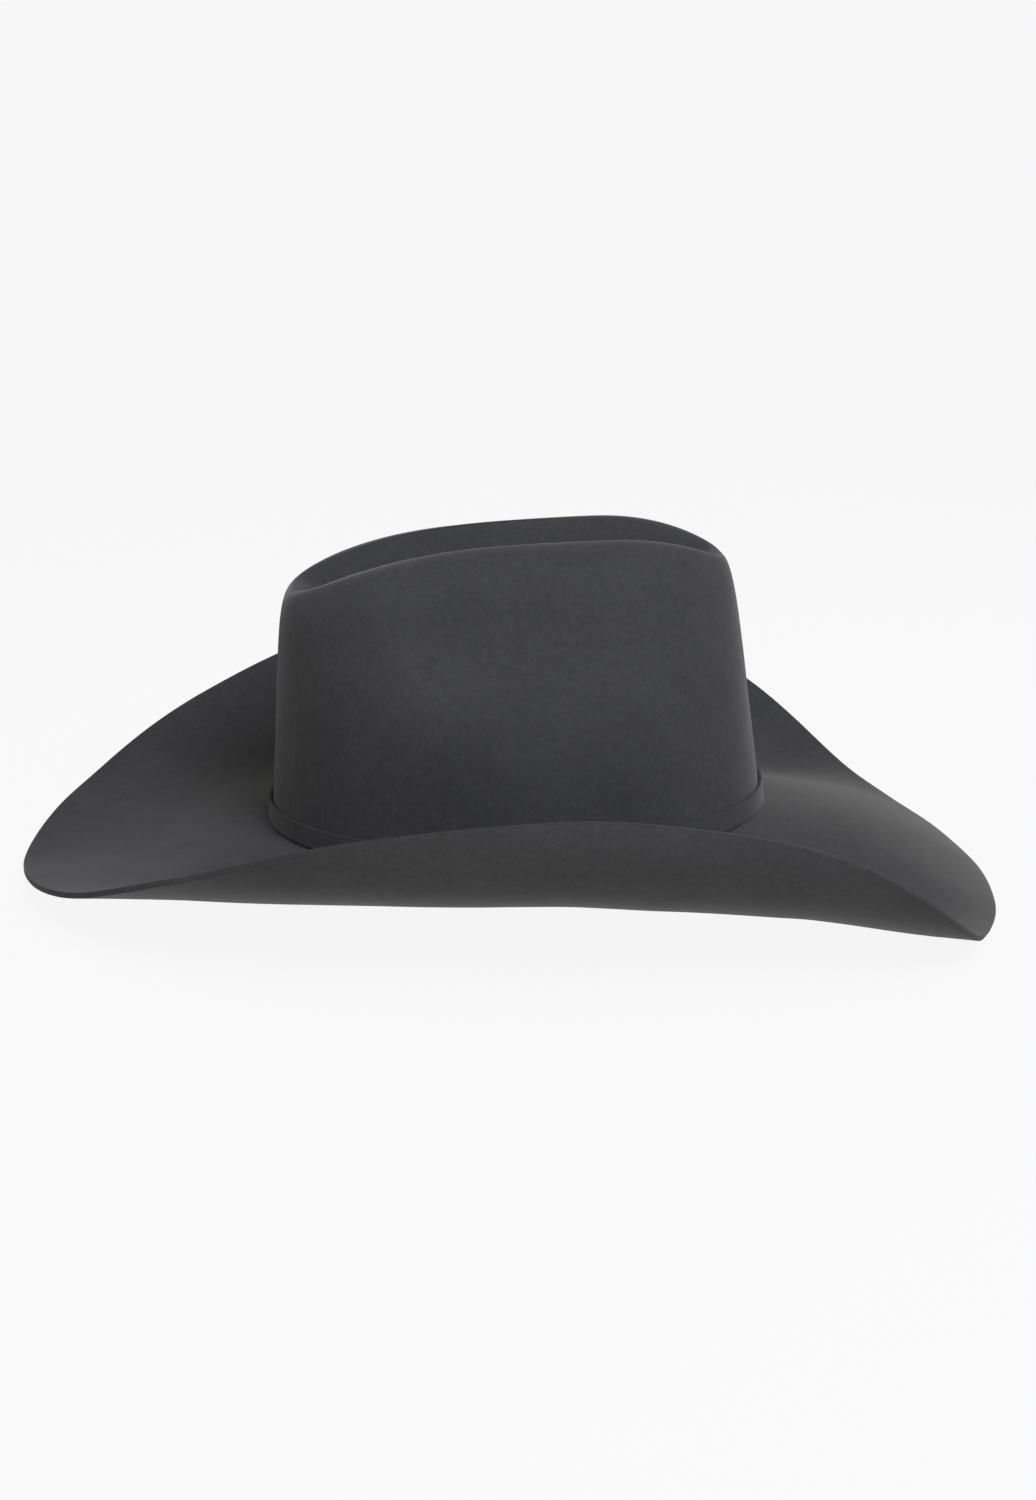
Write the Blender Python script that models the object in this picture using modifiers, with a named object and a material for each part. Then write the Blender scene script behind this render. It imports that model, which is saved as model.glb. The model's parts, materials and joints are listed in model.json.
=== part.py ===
"""Cowboy hat with a cattleman crease: felt body, buckled hatband, sweatband and lining.

Everything is modelled in the hat's own frame, in metres: +X to the front, +Y to the wearer's left, +Z up,
with z = 0 where the brim breaks away from the crown. The parts hang on one empty, which sets the hat down
on the dips of its brim, so that z = 0 of the world is the surface that it stands on.
"""
import math

import bmesh
import bpy
from mathutils import Matrix, Vector

MM = 0.001

# Crown: an ellipse at the brim break, rising to a racetrack crest round a centre crease.
HEAD_HALF_LENGTH = 106 * MM
HEAD_HALF_WIDTH = 87 * MM
CREST_HALF_LENGTH = 89 * MM
CREST_HALF_WIDTH = 28.5 * MM
CREST_ROUNDNESS = 4.0          # superellipse power of the crest's outline
CREST_PEAK_X = 38 * MM
CREST_PEAK_Z = 120 * MM
CREST_DROP_FRONT = 12 * MM     # from the peak to the front end of the crest
CREST_DROP_BACK = 19 * MM
CREST_POWER_FRONT = 2.2        # a higher power keeps the crest level for longer
CREST_POWER_BACK = 3.4
WALL_TAPERS = (0.71, 0.1, 0.51)      # share of the wall's lean that is straight: front, sides, back
WALL_CORNERS = (7.5, 2.6, 12.0)      # a higher power is a tighter corner at the top
WALL_ROUNDINGS = (2.1, 1.9, 3.0)     # and so is this one, across the corner
DENT_DEPTH = 13 * MM           # the soft side dents below the crest
DENT_X = -6 * MM
DENT_Z = 88 * MM
DENT_HALF_LENGTH = 58 * MM
DENT_HALF_HEIGHT = 22 * MM
CREASE_DEPTH = 26 * MM
CREASE_END_SHARE = 0.45        # what is left of that depth at the crease's two ends
CREASE_HALF_LENGTH = 74 * MM

# Brim: bent from a slope at the crown to another at the edge.
FELT = 2.5 * MM
BRIM_BEND_POWER = 1.72         # above 1 puts more of the bend near the edge
BRIM_STATIONS = (              # degrees from the front, slope at the crown, slope at the edge, width in mm
    (0, -11.9, -38.4, 107),
    (20, -13.8, -30.7, 108),
    (35, -20.5, -8, 111),
    (45, -24.2, 18.5, 117.5),
    (60, -20.1, 68.9, 116.5),
    (75, -10.6, 86.7, 112),
    (90, -2.4, 85.4, 109),
    (110, -1.1, 69.9, 107.5),
    (130, -3.4, 40.9, 104),
    (150, -4.8, 11.8, 103.5),
    (165, -7.3, 3.5, 105),
    (180, -8.3, -1.4, 107),
)

# Hatband: a self-felt strap with a small buckle on the wearer's left.
GAP = 0.3 * MM                 # between pieces that touch
STRAP = 1.2 * MM
STRAP_HALF_WIDTH = 4.1 * MM
STRAP_END_HALF_WIDTH = 3.2 * MM
STRAP_CENTRE_Z = 5.6 * MM
STRAP_STANDOFF = 1.1 * MM      # crown to the middle of the strap
SLOT_HALF_WIDTH = 1.3 * MM
WRAP_CLEARANCE = 0.4 * MM      # between the strap and the bar it is folded round
BAR_RADIUS = 0.8 * MM
BAR_STANDOFF = 3 * MM
BUCKLE_FRONT_U = -8 * MM       # u runs round the crown from the middle of its left side to the back
BUCKLE_HEEL_U = 7 * MM
BUCKLE_HALF_HEIGHT = 4.4 * MM
BUCKLE_CORNER = 1.8 * MM
PRONG_RING_INNER = 1.05 * MM
PRONG_RING_OUTER = 1.6 * MM
PRONG_RING_HALF_HEIGHT = 0.9 * MM
PRONG_RADIUS = 0.6 * MM
PRONG_TIP_U = -9.2 * MM
PRONG_TIP_STANDOFF = 4.75 * MM
KEEPER_U = 30 * MM
KEEPER_LENGTH = 3.5 * MM
KEEPER_SHEET = 0.5 * MM
KEEPER_INNER_STANDOFF = 0.75 * MM
KEEPER_OUTER_STANDOFF = 5.15 * MM
TIP_START_U = 41 * MM
TIP_LENGTH = 13 * MM
TIP_HALF_WIDTH = 4.1 * MM
TIP_THICKNESS = 2.4 * MM
TIP_PLAY = 0.1 * MM            # each side of the strap in its cap, over the gap
FREE_END_U = 50 * MM
FREE_END_STANDOFF = 3.5 * MM
FULL_WIDTH_U = (70 * MM, -28 * MM)    # the strap is narrower between these two places
# Places u and standoffs in mm along the strap's narrow ends.
FOLDED_END = ((22, 2.9), (16, 3.1), (11, 4.2))
UNDER_RUN = ((11, 1.2), (23, 1.4), (30, 2.2), (37, 1.4), (56, 1.1))
FREE_END = ((-16, 1.1), (-9, 1.1), (-5, 1.5), (-2, 2.7), (1, 4.4), (4, 5.9), (6.5, 6.35), (9, 6.3), (13, 5.7),
            (18, 4.8), (24, 4.4), (30, 3.9), (37, 3.5), (50, 3.5))
FOLD_SLOT_START = 11           # the prong's slot in the folded end starts here and runs round the bar
FREE_SLOT = (-5, 4)            # and in the free end it lies between these

# Inside the crown, measured inwards from the felt's outer face.
LEATHER = 1.1 * MM
SWEATBAND_INSET = 4.6 * MM
SWEATBAND_TOP = 48 * MM
SEAM_HALF_GAP = 0.6 * MM
TAPE_INSET = 3.2 * MM
TAPE = 0.6 * MM
TAPE_TOP = 12 * MM
TAPE_FOOT_Z = -2.4 * MM
REED_RADIUS = 1 * MM
REED_INSET = 5 * MM
REED_Z = -1.3 * MM
SATIN = 0.5 * MM
LINING_INSET = 3.4 * MM
LINING_FOOT_Z = 41 * MM
TIP_LINING_INSET = 4.8 * MM     # the lining's tip hangs a little clear of the crease
PIPING_RADIUS = 1 * MM
PIPING_INSET = 4.1 * MM
PATCH_HALF_WIDTH = 13 * MM      # the patch backs the sweatband's seam
LABEL = 0.3 * MM
LABEL_START = math.radians(94.5)
LABEL_WIDTH = 24 * MM
LABEL_ROWS = (36 * MM, 28 * MM, 20 * MM)       # heights
RIBBON = 0.5 * MM
BOW_Z = 9 * MM
BOW_STANDOFF = 2.2 * MM
BOW_HALF_HEIGHT = 3 * MM
# One loop of the bow in mm: away from the knot, and inwards.
BOW_LOOP = ((1.7, 0.2), (5, 0.0), (10, 0.0), (13, 0.3), (13.6, 1.2), (12.6, 2.1), (9, 2.3), (5, 2.1), (1.7, 1.4))
KNOT_SIZE = (2.6 * MM, 2.4 * MM, 7 * MM)
KNOT_STANDOFF = 0.8 * MM
KNOT_EDGE = 0.8 * MM

AROUND = 48                    # facets round the crown and the brim
BREAK_CORNER = 0.6 * MM
MIDDLE_ROW = 28 * MM
LOWER_WALL_ROWS = (3 * MM, TAPE_TOP, MIDDLE_ROW, LINING_FOOT_Z, SWEATBAND_TOP)   # heights
UPPER_WALL_ROWS = (0.53, 0.63, 0.72, 0.8)      # shares of the crest's height
SEAM_ROW = 0.84                # the lining's seam, as a share of the crest's height
SIDE_LINING_TOP = SEAM_ROW - 0.045
TOP_WALL_ROWS = (0.88, 0.93, 0.965, 0.988)
CREASE_ROWS = (0.2, 0.4, 0.6, 0.8)
LAST_PLACE = 1.97              # as near the crease's floor as a normal can be taken
BRIM_ROWS = (0.02, 0.16, 0.32, 0.48, 0.62, 0.75, 0.87, 1.0)
BRIM_STEPS = 40                # steps that add up the bent brim


# Small helpers

def material(name, colour, roughness, metallic=0.0):
    """A plain Principled material."""
    made = bpy.data.materials.new(name)
    made.use_nodes = True
    shader = made.node_tree.nodes["Principled BSDF"]
    shader.inputs["Base Color"].default_value = (*colour, 1.0)
    shader.inputs["Roughness"].default_value = roughness
    shader.inputs["Metallic"].default_value = metallic
    made.diffuse_color = (*colour, 1.0)
    return made


def mesh_object(name, mesh, finish, hat):
    """Put a mesh into the hat's collection, under its empty."""
    made = bpy.data.objects.new(name, mesh)
    mesh.materials.clear()
    mesh.materials.append(finish)
    hat["parts"].objects.link(made)
    made.parent = hat["set_down"]
    return made


def sheet_mesh(name, rows, closed, skip=()):
    """A sheet of quads over rows of points; skip names the (row, column) quads that are left open."""
    mesh = bpy.data.meshes.new(name)
    work = bmesh.new()
    grid = [[work.verts.new(point) for point in row] for row in rows]
    count = len(rows[0])
    spans = count if closed else count - 1
    for i in range(len(grid) - 1):
        for j in range(spans):
            if (i, j) in skip:
                continue
            k = (j + 1) % count
            work.faces.new((grid[i][j], grid[i][k], grid[i + 1][k], grid[i + 1][j]))
    bmesh.ops.remove_doubles(work, verts=work.verts, dist=0.00001)
    work.to_mesh(mesh)
    work.free()
    return mesh


def thicken(made, thickness, offset):
    """Give an open sheet its thickness."""
    shell = made.modifiers.new("thickness", "SOLIDIFY")
    shell.thickness = thickness
    shell.offset = offset
    made.data.shade_smooth()
    made.data.set_sharp_from_angle(angle=math.radians(40))
    return made


def tube(name, points, radius, closed, finish, hat, resolution=2):
    """A round rod along points."""
    line = bpy.data.curves.new(name, "CURVE")
    line.dimensions = "3D"
    line.bevel_depth = radius
    line.bevel_resolution = resolution
    line.use_fill_caps = True
    spline = line.splines.new("POLY")
    spline.points.add(len(points) - 1)
    for knot, point in zip(spline.points, points):
        knot.co = (*point, 1.0)
    spline.use_cyclic_u = closed
    made = bpy.data.objects.new(name, line)
    line.materials.append(finish)
    hat["parts"].objects.link(made)
    made.parent = hat["set_down"]
    return made


def mix(a, b, share):
    """A value between a and b."""
    return a + (b - a) * share


def turns():
    """The directions round the hat, from the front by the left side."""
    return [2 * math.pi * i / AROUND for i in range(AROUND)]


# The crown's shape

def break_point(turn):
    """Where the crown meets the brim."""
    return Vector((HEAD_HALF_LENGTH * math.cos(turn), HEAD_HALF_WIDTH * math.sin(turn), 0.0))


def outward(turn):
    """The level direction square to the crown at its base."""
    return Vector((math.cos(turn) / HEAD_HALF_LENGTH, math.sin(turn) / HEAD_HALF_WIDTH, 0.0)).normalized()


def crest_height(x):
    """Height of the crest, and of the line that the crease is sunk from."""
    away = x - CREST_PEAK_X
    if away > 0:
        return CREST_PEAK_Z - CREST_DROP_FRONT * (away / (CREST_HALF_LENGTH - CREST_PEAK_X)) ** CREST_POWER_FRONT
    return CREST_PEAK_Z - CREST_DROP_BACK * (-away / (CREST_HALF_LENGTH + CREST_PEAK_X)) ** CREST_POWER_BACK


def crest_point(turn):
    """The highest line of the crown, a racetrack round the crease."""
    along = math.cos(turn)
    side = max(0.0, 1 - abs(along) ** CREST_ROUNDNESS) ** (1 / CREST_ROUNDNESS)
    x = CREST_HALF_LENGTH * along
    y = math.copysign(CREST_HALF_WIDTH * side, math.sin(turn))
    return Vector((x, y, crest_height(x)))


def all_round(values, turn):
    """A value for one direction, from those at the front, the sides and the back."""
    front, sides, back = values
    return mix(mix(back, front, (1 + math.cos(turn)) / 2), sides, math.sin(turn) ** 2)


def wall_point(turn, rise):
    """A point on the crown's outer wall; rise runs from 0 at the brim to 1 on the crest."""
    flank = math.sin(turn) ** 2
    taper = all_round(WALL_TAPERS, turn)
    rounded = 1 - max(0.0, 1 - rise ** all_round(WALL_CORNERS, turn)) ** (1 / all_round(WALL_ROUNDINGS, turn))
    lean = taper * rise + (1 - taper) * rounded
    foot = break_point(turn)
    crest = crest_point(turn)
    point = foot.lerp(crest, lean)
    point.z = crest.z * rise
    along = (point.x - DENT_X) / DENT_HALF_LENGTH
    up = (point.z - DENT_Z) / DENT_HALF_HEIGHT
    dent = DENT_DEPTH * math.exp(-along * along - up * up) * flank
    point.y -= math.copysign(dent, point.y)
    return point


def crease_point(turn, inward):
    """A point in the crease; inward runs from 0 on the crest to 1 on its floor line."""
    crest = crest_point(turn)
    along = math.cos(turn)
    x = CREASE_HALF_LENGTH * along
    depth = CREASE_DEPTH * mix(1.0, CREASE_END_SHARE, along ** 4)
    floor = Vector((x, 0.0, crest_height(x) - depth))
    point = crest.lerp(floor, inward)
    point.z = mix(crest.z, floor.z, (1 - math.cos(math.pi * inward)) / 2)
    return point


def crown_point(turn, place):
    """The crown's outer face: place 0 to 1 climbs the wall, 1 to 2 goes down into the crease."""
    if place <= 1:
        return wall_point(turn, place)
    return crease_point(turn, place - 1)


def inset_point(turn, place, depth):
    """A point that lies depth below the crown's outer face."""
    step = 0.004
    low = max(0.0, place - step)
    high = min(LAST_PLACE, place + step)
    climb = crown_point(turn, high) - crown_point(turn, low)
    sweep = crown_point(turn + 0.02, place) - crown_point(turn - 0.02, place)
    face = crown_point(turn, place)
    point = face - sweep.cross(climb).normalized() * depth
    if place > 1 and point.y * face.y < face.y * face.y:
        point.y = face.y    # the two sides of the crease keep apart
    return point


# The brim's shape

def station_value(degrees, column):
    """A smooth curve through one column of BRIM_STATIONS, the same on both sides of the hat."""
    angle = abs((degrees + 180) % 360 - 180)
    half = [(station[0], station[column]) for station in BRIM_STATIONS]
    ring = [(-half[1][0], half[1][1])] + half + [(360 - half[-2][0], half[-2][1])]
    for i in range(1, len(ring) - 2):
        if angle <= ring[i + 1][0]:
            break
    (x0, y0), (x1, y1), (x2, y2), (x3, y3) = ring[i - 1:i + 3]
    start = (y2 - y0) / (x2 - x0) * (x2 - x1)
    end = (y3 - y1) / (x3 - x1) * (x2 - x1)
    t = (angle - x1) / (x2 - x1)
    return ((2 * t ** 3 - 3 * t ** 2 + 1) * y1 + (t ** 3 - 2 * t ** 2 + t) * start
            + (3 * t ** 2 - 2 * t ** 3) * y2 + (t ** 3 - t ** 2) * end)


def brim_point(turn, share):
    """A point on the brim's upper face, with its slopes added up from the crown outwards."""
    normal = outward(turn)
    degrees = math.degrees(math.atan2(normal.y, normal.x))
    inner, outer, width = (station_value(degrees, column) for column in (1, 2, 3))
    run = 0.0
    rise = 0.0
    step = share / BRIM_STEPS
    for i in range(BRIM_STEPS):
        slope = math.radians(mix(inner, outer, ((i + 0.5) * step) ** BRIM_BEND_POWER))
        run += math.cos(slope) * step * width * MM
        rise += math.sin(slope) * step * width * MM
    return break_point(turn) + outward(turn) * run + Vector((0.0, 0.0, rise))


# The pieces

def make_felt_body(finish, hat):
    """Crown and brim, blocked from one piece of felt."""
    rows = [[crease_point(turn, 1.0) for turn in turns()]]
    for inward in reversed(CREASE_ROWS):
        rows.append([crease_point(turn, inward) for turn in turns()])
    for rise in reversed(UPPER_WALL_ROWS + (SEAM_ROW,) + TOP_WALL_ROWS + (1.0,)):
        rows.append([wall_point(turn, rise) for turn in turns()])
    for z in reversed(LOWER_WALL_ROWS):
        rows.append([lower_wall_point(turn, z, 0.0) for turn in turns()])
    rows.append([break_point(turn) + (outward(turn) + Vector((0, 0, 1))) * BREAK_CORNER for turn in turns()])
    for share in BRIM_ROWS:
        rows.append([brim_point(turn, share) for turn in turns()])
    mesh = sheet_mesh("felt_body", rows, closed=True)
    made = mesh_object("felt_body", mesh, finish, hat)
    return thicken(made, FELT, offset=1.0)


def lower_wall_point(turn, z, inset):
    """A point level with z, inset from the crown's outer face."""
    point = wall_point(turn, max(0.0, z / crest_point(turn).z)) - outward(turn) * inset
    point.z = z
    return point


def wall_strip(name, heights, inset, thickness, finish, hat, start=0.0, end=2 * math.pi):
    """A strip that lines the crown's lower wall, through the given heights from its top down."""
    closed = end - start > 2 * math.pi - 0.001
    steps = max(2, round(AROUND * (end - start) / (2 * math.pi)))
    count = steps if closed else steps + 1
    rows = []
    for z in heights:
        rows.append([lower_wall_point(start + (end - start) * i / steps, z, inset) for i in range(count)])
    made = mesh_object(name, sheet_mesh(name, rows, closed), finish, hat)
    return thicken(made, thickness, offset=0.0)


def make_sweatband(finishes, hat):
    """Leather band, its reed and tape, and the patch and bow at its back seam."""
    seam = SEAM_HALF_GAP / HEAD_HALF_WIDTH
    back = math.pi
    heights = (SWEATBAND_TOP, LINING_FOOT_Z, MIDDLE_ROW, TAPE_TOP, GAP)
    wall_strip("sweatband", heights, SWEATBAND_INSET, LEATHER, finishes["leather"], hat,
               start=back + seam - 2 * math.pi, end=back - seam)
    wall_strip("sweatband_tape", (TAPE_TOP, TAPE_FOOT_Z), TAPE_INSET, TAPE, finishes["tape"], hat)
    patch = PATCH_HALF_WIDTH / HEAD_HALF_WIDTH
    wall_strip("sweatband_patch", (LINING_FOOT_Z - GAP, MIDDLE_ROW, TAPE_TOP + GAP), TAPE_INSET, TAPE,
               finishes["leather"], hat, start=back - patch, end=back + patch)
    wall_strip("size_label", LABEL_ROWS, TAPE_INSET, LABEL, finishes["paper"], hat, start=LABEL_START,
               end=LABEL_START + LABEL_WIDTH / HEAD_HALF_WIDTH)
    ring = [break_point(turn) - outward(turn) * REED_INSET + Vector((0, 0, REED_Z)) for turn in turns()]
    tube("sweatband_reed", ring, REED_RADIUS, True, finishes["reed"], hat)
    make_bow(finishes["ribbon"], hat)


def make_bow(finish, hat):
    """The small flat ribbon bow over the sweatband's seam."""
    face_x = -HEAD_HALF_LENGTH + SWEATBAND_INSET + LEATHER / 2 + BOW_STANDOFF
    back_radius = HEAD_HALF_WIDTH ** 2 / HEAD_HALF_LENGTH
    for side, name in ((-1, "bow_loop_right"), (1, "bow_loop_left")):
        rows = []
        for away, inward in BOW_LOOP:
            x = face_x + inward * MM + (away * MM) ** 2 / (2 * back_radius)
            rows.append([Vector((x, side * away * MM, BOW_Z + level * BOW_HALF_HEIGHT)) for level in (-1, 0, 1)])
        made = mesh_object(name, sheet_mesh(name, rows, closed=False), finish, hat)
        thicken(made, RIBBON, offset=0.0)
    knot_mesh = bpy.data.meshes.new("bow_knot")
    work = bmesh.new()
    bmesh.ops.create_cube(work, size=1.0, matrix=Matrix.Diagonal((*KNOT_SIZE, 1.0)))
    work.to_mesh(knot_mesh)
    work.free()
    knot = mesh_object("bow_knot", knot_mesh, finish, hat)
    knot.location = (face_x + KNOT_STANDOFF, 0.0, BOW_Z)
    edge = knot.modifiers.new("soft_edge", "BEVEL")
    edge.width = KNOT_EDGE
    edge.segments = 2


def make_lining(finishes, hat):
    """Satin side panel and tip, and the piping between them."""
    foot = [[lower_wall_point(turn, z, LINING_INSET) for turn in turns()] for z in (SWEATBAND_TOP, LINING_FOOT_Z)]
    side_rows = UPPER_WALL_ROWS[:3] + (SIDE_LINING_TOP,)
    rows = [[inset_point(turn, rise, LINING_INSET) for turn in turns()] for rise in reversed(side_rows)] + foot
    made = mesh_object("lining_side", sheet_mesh("lining_side", rows, True), finishes["satin"], hat)
    thicken(made, SATIN, offset=0.0)
    seam = [inset_point(turn, SEAM_ROW, PIPING_INSET) for turn in turns()]
    tube("lining_piping", seam, PIPING_RADIUS, True, finishes["satin"], hat)
    tip_places = [LAST_PLACE] + [1 + inward for inward in reversed(CREASE_ROWS)] + [1.0]
    tip_places += list(reversed(TOP_WALL_ROWS))
    rows = [[inset_point(turn, place, TIP_LINING_INSET) for turn in turns()] for place in tip_places]
    centre = []
    for turn in turns():
        floor = crease_point(turn, 1.0)
        centre.append(Vector((floor.x, 0.0, floor.z - TIP_LINING_INSET)))
    made = mesh_object("lining_tip", sheet_mesh("lining_tip", [centre] + rows, True), finishes["satin"], hat)
    thicken(made, SATIN, offset=0.0)


def strap_turn(u):
    """Direction of a place u along the left side of the crown, towards the back."""
    return math.pi / 2 + u / HEAD_HALF_LENGTH


def strap_place(turn, standoff, z):
    """A point off the crown's base, level with z."""
    return break_point(turn) + outward(turn) * standoff + Vector((0, 0, z))


def strap_path():
    """The strap from its buckle end, round the back, right side and front, to its free end.

    Each entry is direction, standoff, half width and whether the prong's slot runs on to the next entry.
    """
    end = STRAP_END_HALF_WIDTH
    path = []
    for u, standoff in FOLDED_END:
        path.append((strap_turn(u * MM), standoff * MM, end, u <= FOLD_SLOT_START))
    bend = BAR_RADIUS + WRAP_CLEARANCE + STRAP / 2
    for degrees in range(90, 271, 30):
        u = BUCKLE_HEEL_U + bend * math.cos(math.radians(degrees))
        standoff = BAR_STANDOFF + bend * math.sin(math.radians(degrees))
        path.append((strap_turn(u), standoff, end, True))
    for u, standoff in UNDER_RUN:
        path.append((strap_turn(u * MM), standoff * MM, end, False))
    start = strap_turn(FULL_WIDTH_U[0])
    finish = strap_turn(FULL_WIDTH_U[1]) + 2 * math.pi
    steps = round(AROUND * (finish - start) / (2 * math.pi))
    for i in range(steps + 1):
        path.append((mix(start, finish, i / steps), STRAP_STANDOFF, STRAP_HALF_WIDTH, False))
    for u, standoff in FREE_END:
        slot = FREE_SLOT[0] <= u <= FREE_SLOT[1]
        path.append((strap_turn(u * MM) + 2 * math.pi, standoff * MM, end, slot))
    return path


def make_strap(finish, hat):
    """The felt strap, with a slot at each end of its buckle for the prong."""
    rows = []
    skip = set()
    for i, (turn, standoff, half_width, slot) in enumerate(strap_path()):
        levels = (half_width, SLOT_HALF_WIDTH, -SLOT_HALF_WIDTH, -half_width)
        if half_width == STRAP_HALF_WIDTH:      # the full width leans in with the crown
            rows.append([lower_wall_point(turn, STRAP_CENTRE_Z + level, -standoff) for level in levels])
        else:
            rows.append([strap_place(turn, standoff, STRAP_CENTRE_Z + level) for level in levels])
        if slot:
            skip.add((i, 1))
    made = mesh_object("hatband_strap", sheet_mesh("hatband_strap", rows, False, skip), finish, hat)
    return thicken(made, STRAP, offset=0.0)


def buckle_point(u, standoff, z):
    """A point in the buckle's flat frame, which stands off the middle of the left side."""
    return Vector((-u, HEAD_HALF_WIDTH + standoff, z))


def make_buckle(finish, hat):
    """Wire frame, prong on its heel bar, keeper loop and strap tip."""
    outline = []
    corners = ((BUCKLE_HEEL_U, 1), (BUCKLE_FRONT_U, 1), (BUCKLE_FRONT_U, -1), (BUCKLE_HEEL_U, -1))
    for i, (u, side) in enumerate(corners):
        z = STRAP_CENTRE_Z + side * BUCKLE_HALF_HEIGHT
        inner_u = u - math.copysign(BUCKLE_CORNER, u)
        inner_z = z - side * BUCKLE_CORNER
        for step in range(4):
            angle = math.pi / 2 * (i + step / 3)
            outline.append(buckle_point(inner_u + BUCKLE_CORNER * math.cos(angle), BAR_STANDOFF,
                                        inner_z + BUCKLE_CORNER * math.sin(angle)))
    tube("buckle_frame", outline, BAR_RADIUS, True, finish, hat)
    make_prong(finish, hat)
    make_keeper(finish, hat)
    make_strap_tip(finish, hat)


def ring_mesh(name, inner, outer, half_height, sides):
    """A short tube about Z."""
    rows = []
    for radius, z in ((outer, half_height), (outer, -half_height), (inner, -half_height), (inner, half_height)):
        rows.append([Vector((radius * math.cos(2 * math.pi * i / sides), radius * math.sin(2 * math.pi * i / sides),
                             z)) for i in range(sides)])
    mesh = sheet_mesh(name, rows + [rows[0]], closed=True)
    work = bmesh.new()
    work.from_mesh(mesh)
    bmesh.ops.recalc_face_normals(work, faces=work.faces)
    work.to_mesh(mesh)
    work.free()
    return mesh


def make_prong(finish, hat):
    """The tongue: a ring on the heel bar and a pin that rests on the front bar. Its origin is on the bar."""
    heel = buckle_point(BUCKLE_HEEL_U, BAR_STANDOFF, STRAP_CENTRE_Z)
    mesh = ring_mesh("buckle_prong", PRONG_RING_INNER, PRONG_RING_OUTER, PRONG_RING_HALF_HEIGHT, 16)
    prong = mesh_object("buckle_prong", mesh, finish, hat)
    prong.location = heel
    tip = buckle_point(PRONG_TIP_U, PRONG_TIP_STANDOFF, STRAP_CENTRE_Z) - heel
    root = tip.normalized() * (PRONG_RING_INNER + PRONG_RING_OUTER) / 2
    length = (tip - root).length
    work = bmesh.new()
    place = Matrix.Translation((root + tip) / 2) @ tip.to_track_quat("Z", "Y").to_matrix().to_4x4()
    bmesh.ops.create_cone(work, cap_ends=True, segments=12, radius1=PRONG_RADIUS, radius2=PRONG_RADIUS * 0.8,
                          depth=length, matrix=place)
    pin_mesh = bpy.data.meshes.new("prong_pin_guide")
    work.to_mesh(pin_mesh)
    work.free()
    pin = bpy.data.objects.new("prong_pin_guide", pin_mesh)
    hat["cutters"].objects.link(pin)
    pin.parent = hat["set_down"]
    pin.location = heel
    pin.hide_render = True
    pin.display_type = "WIRE"
    join = prong.modifiers.new("pin", "BOOLEAN")
    join.operation = "UNION"
    join.object = pin


def make_keeper(finish, hat):
    """A flat metal loop round the strap and its free end."""
    half_z = STRAP_END_HALF_WIDTH + GAP + KEEPER_SHEET / 2
    low = KEEPER_INNER_STANDOFF
    high = KEEPER_OUTER_STANDOFF
    turn = strap_turn(KEEPER_U)
    rows = []
    for side in (-1, 1):
        along = outward(turn).cross(Vector((0, 0, 1))) * side * KEEPER_LENGTH / 2
        rows.append([strap_place(turn, standoff, STRAP_CENTRE_Z + z) + along
                     for standoff, z in ((low, -half_z), (high, -half_z), (high, half_z), (low, half_z))])
    made = mesh_object("buckle_keeper", sheet_mesh("buckle_keeper", rows, True), finish, hat)
    return thicken(made, KEEPER_SHEET, offset=0.0)


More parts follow.
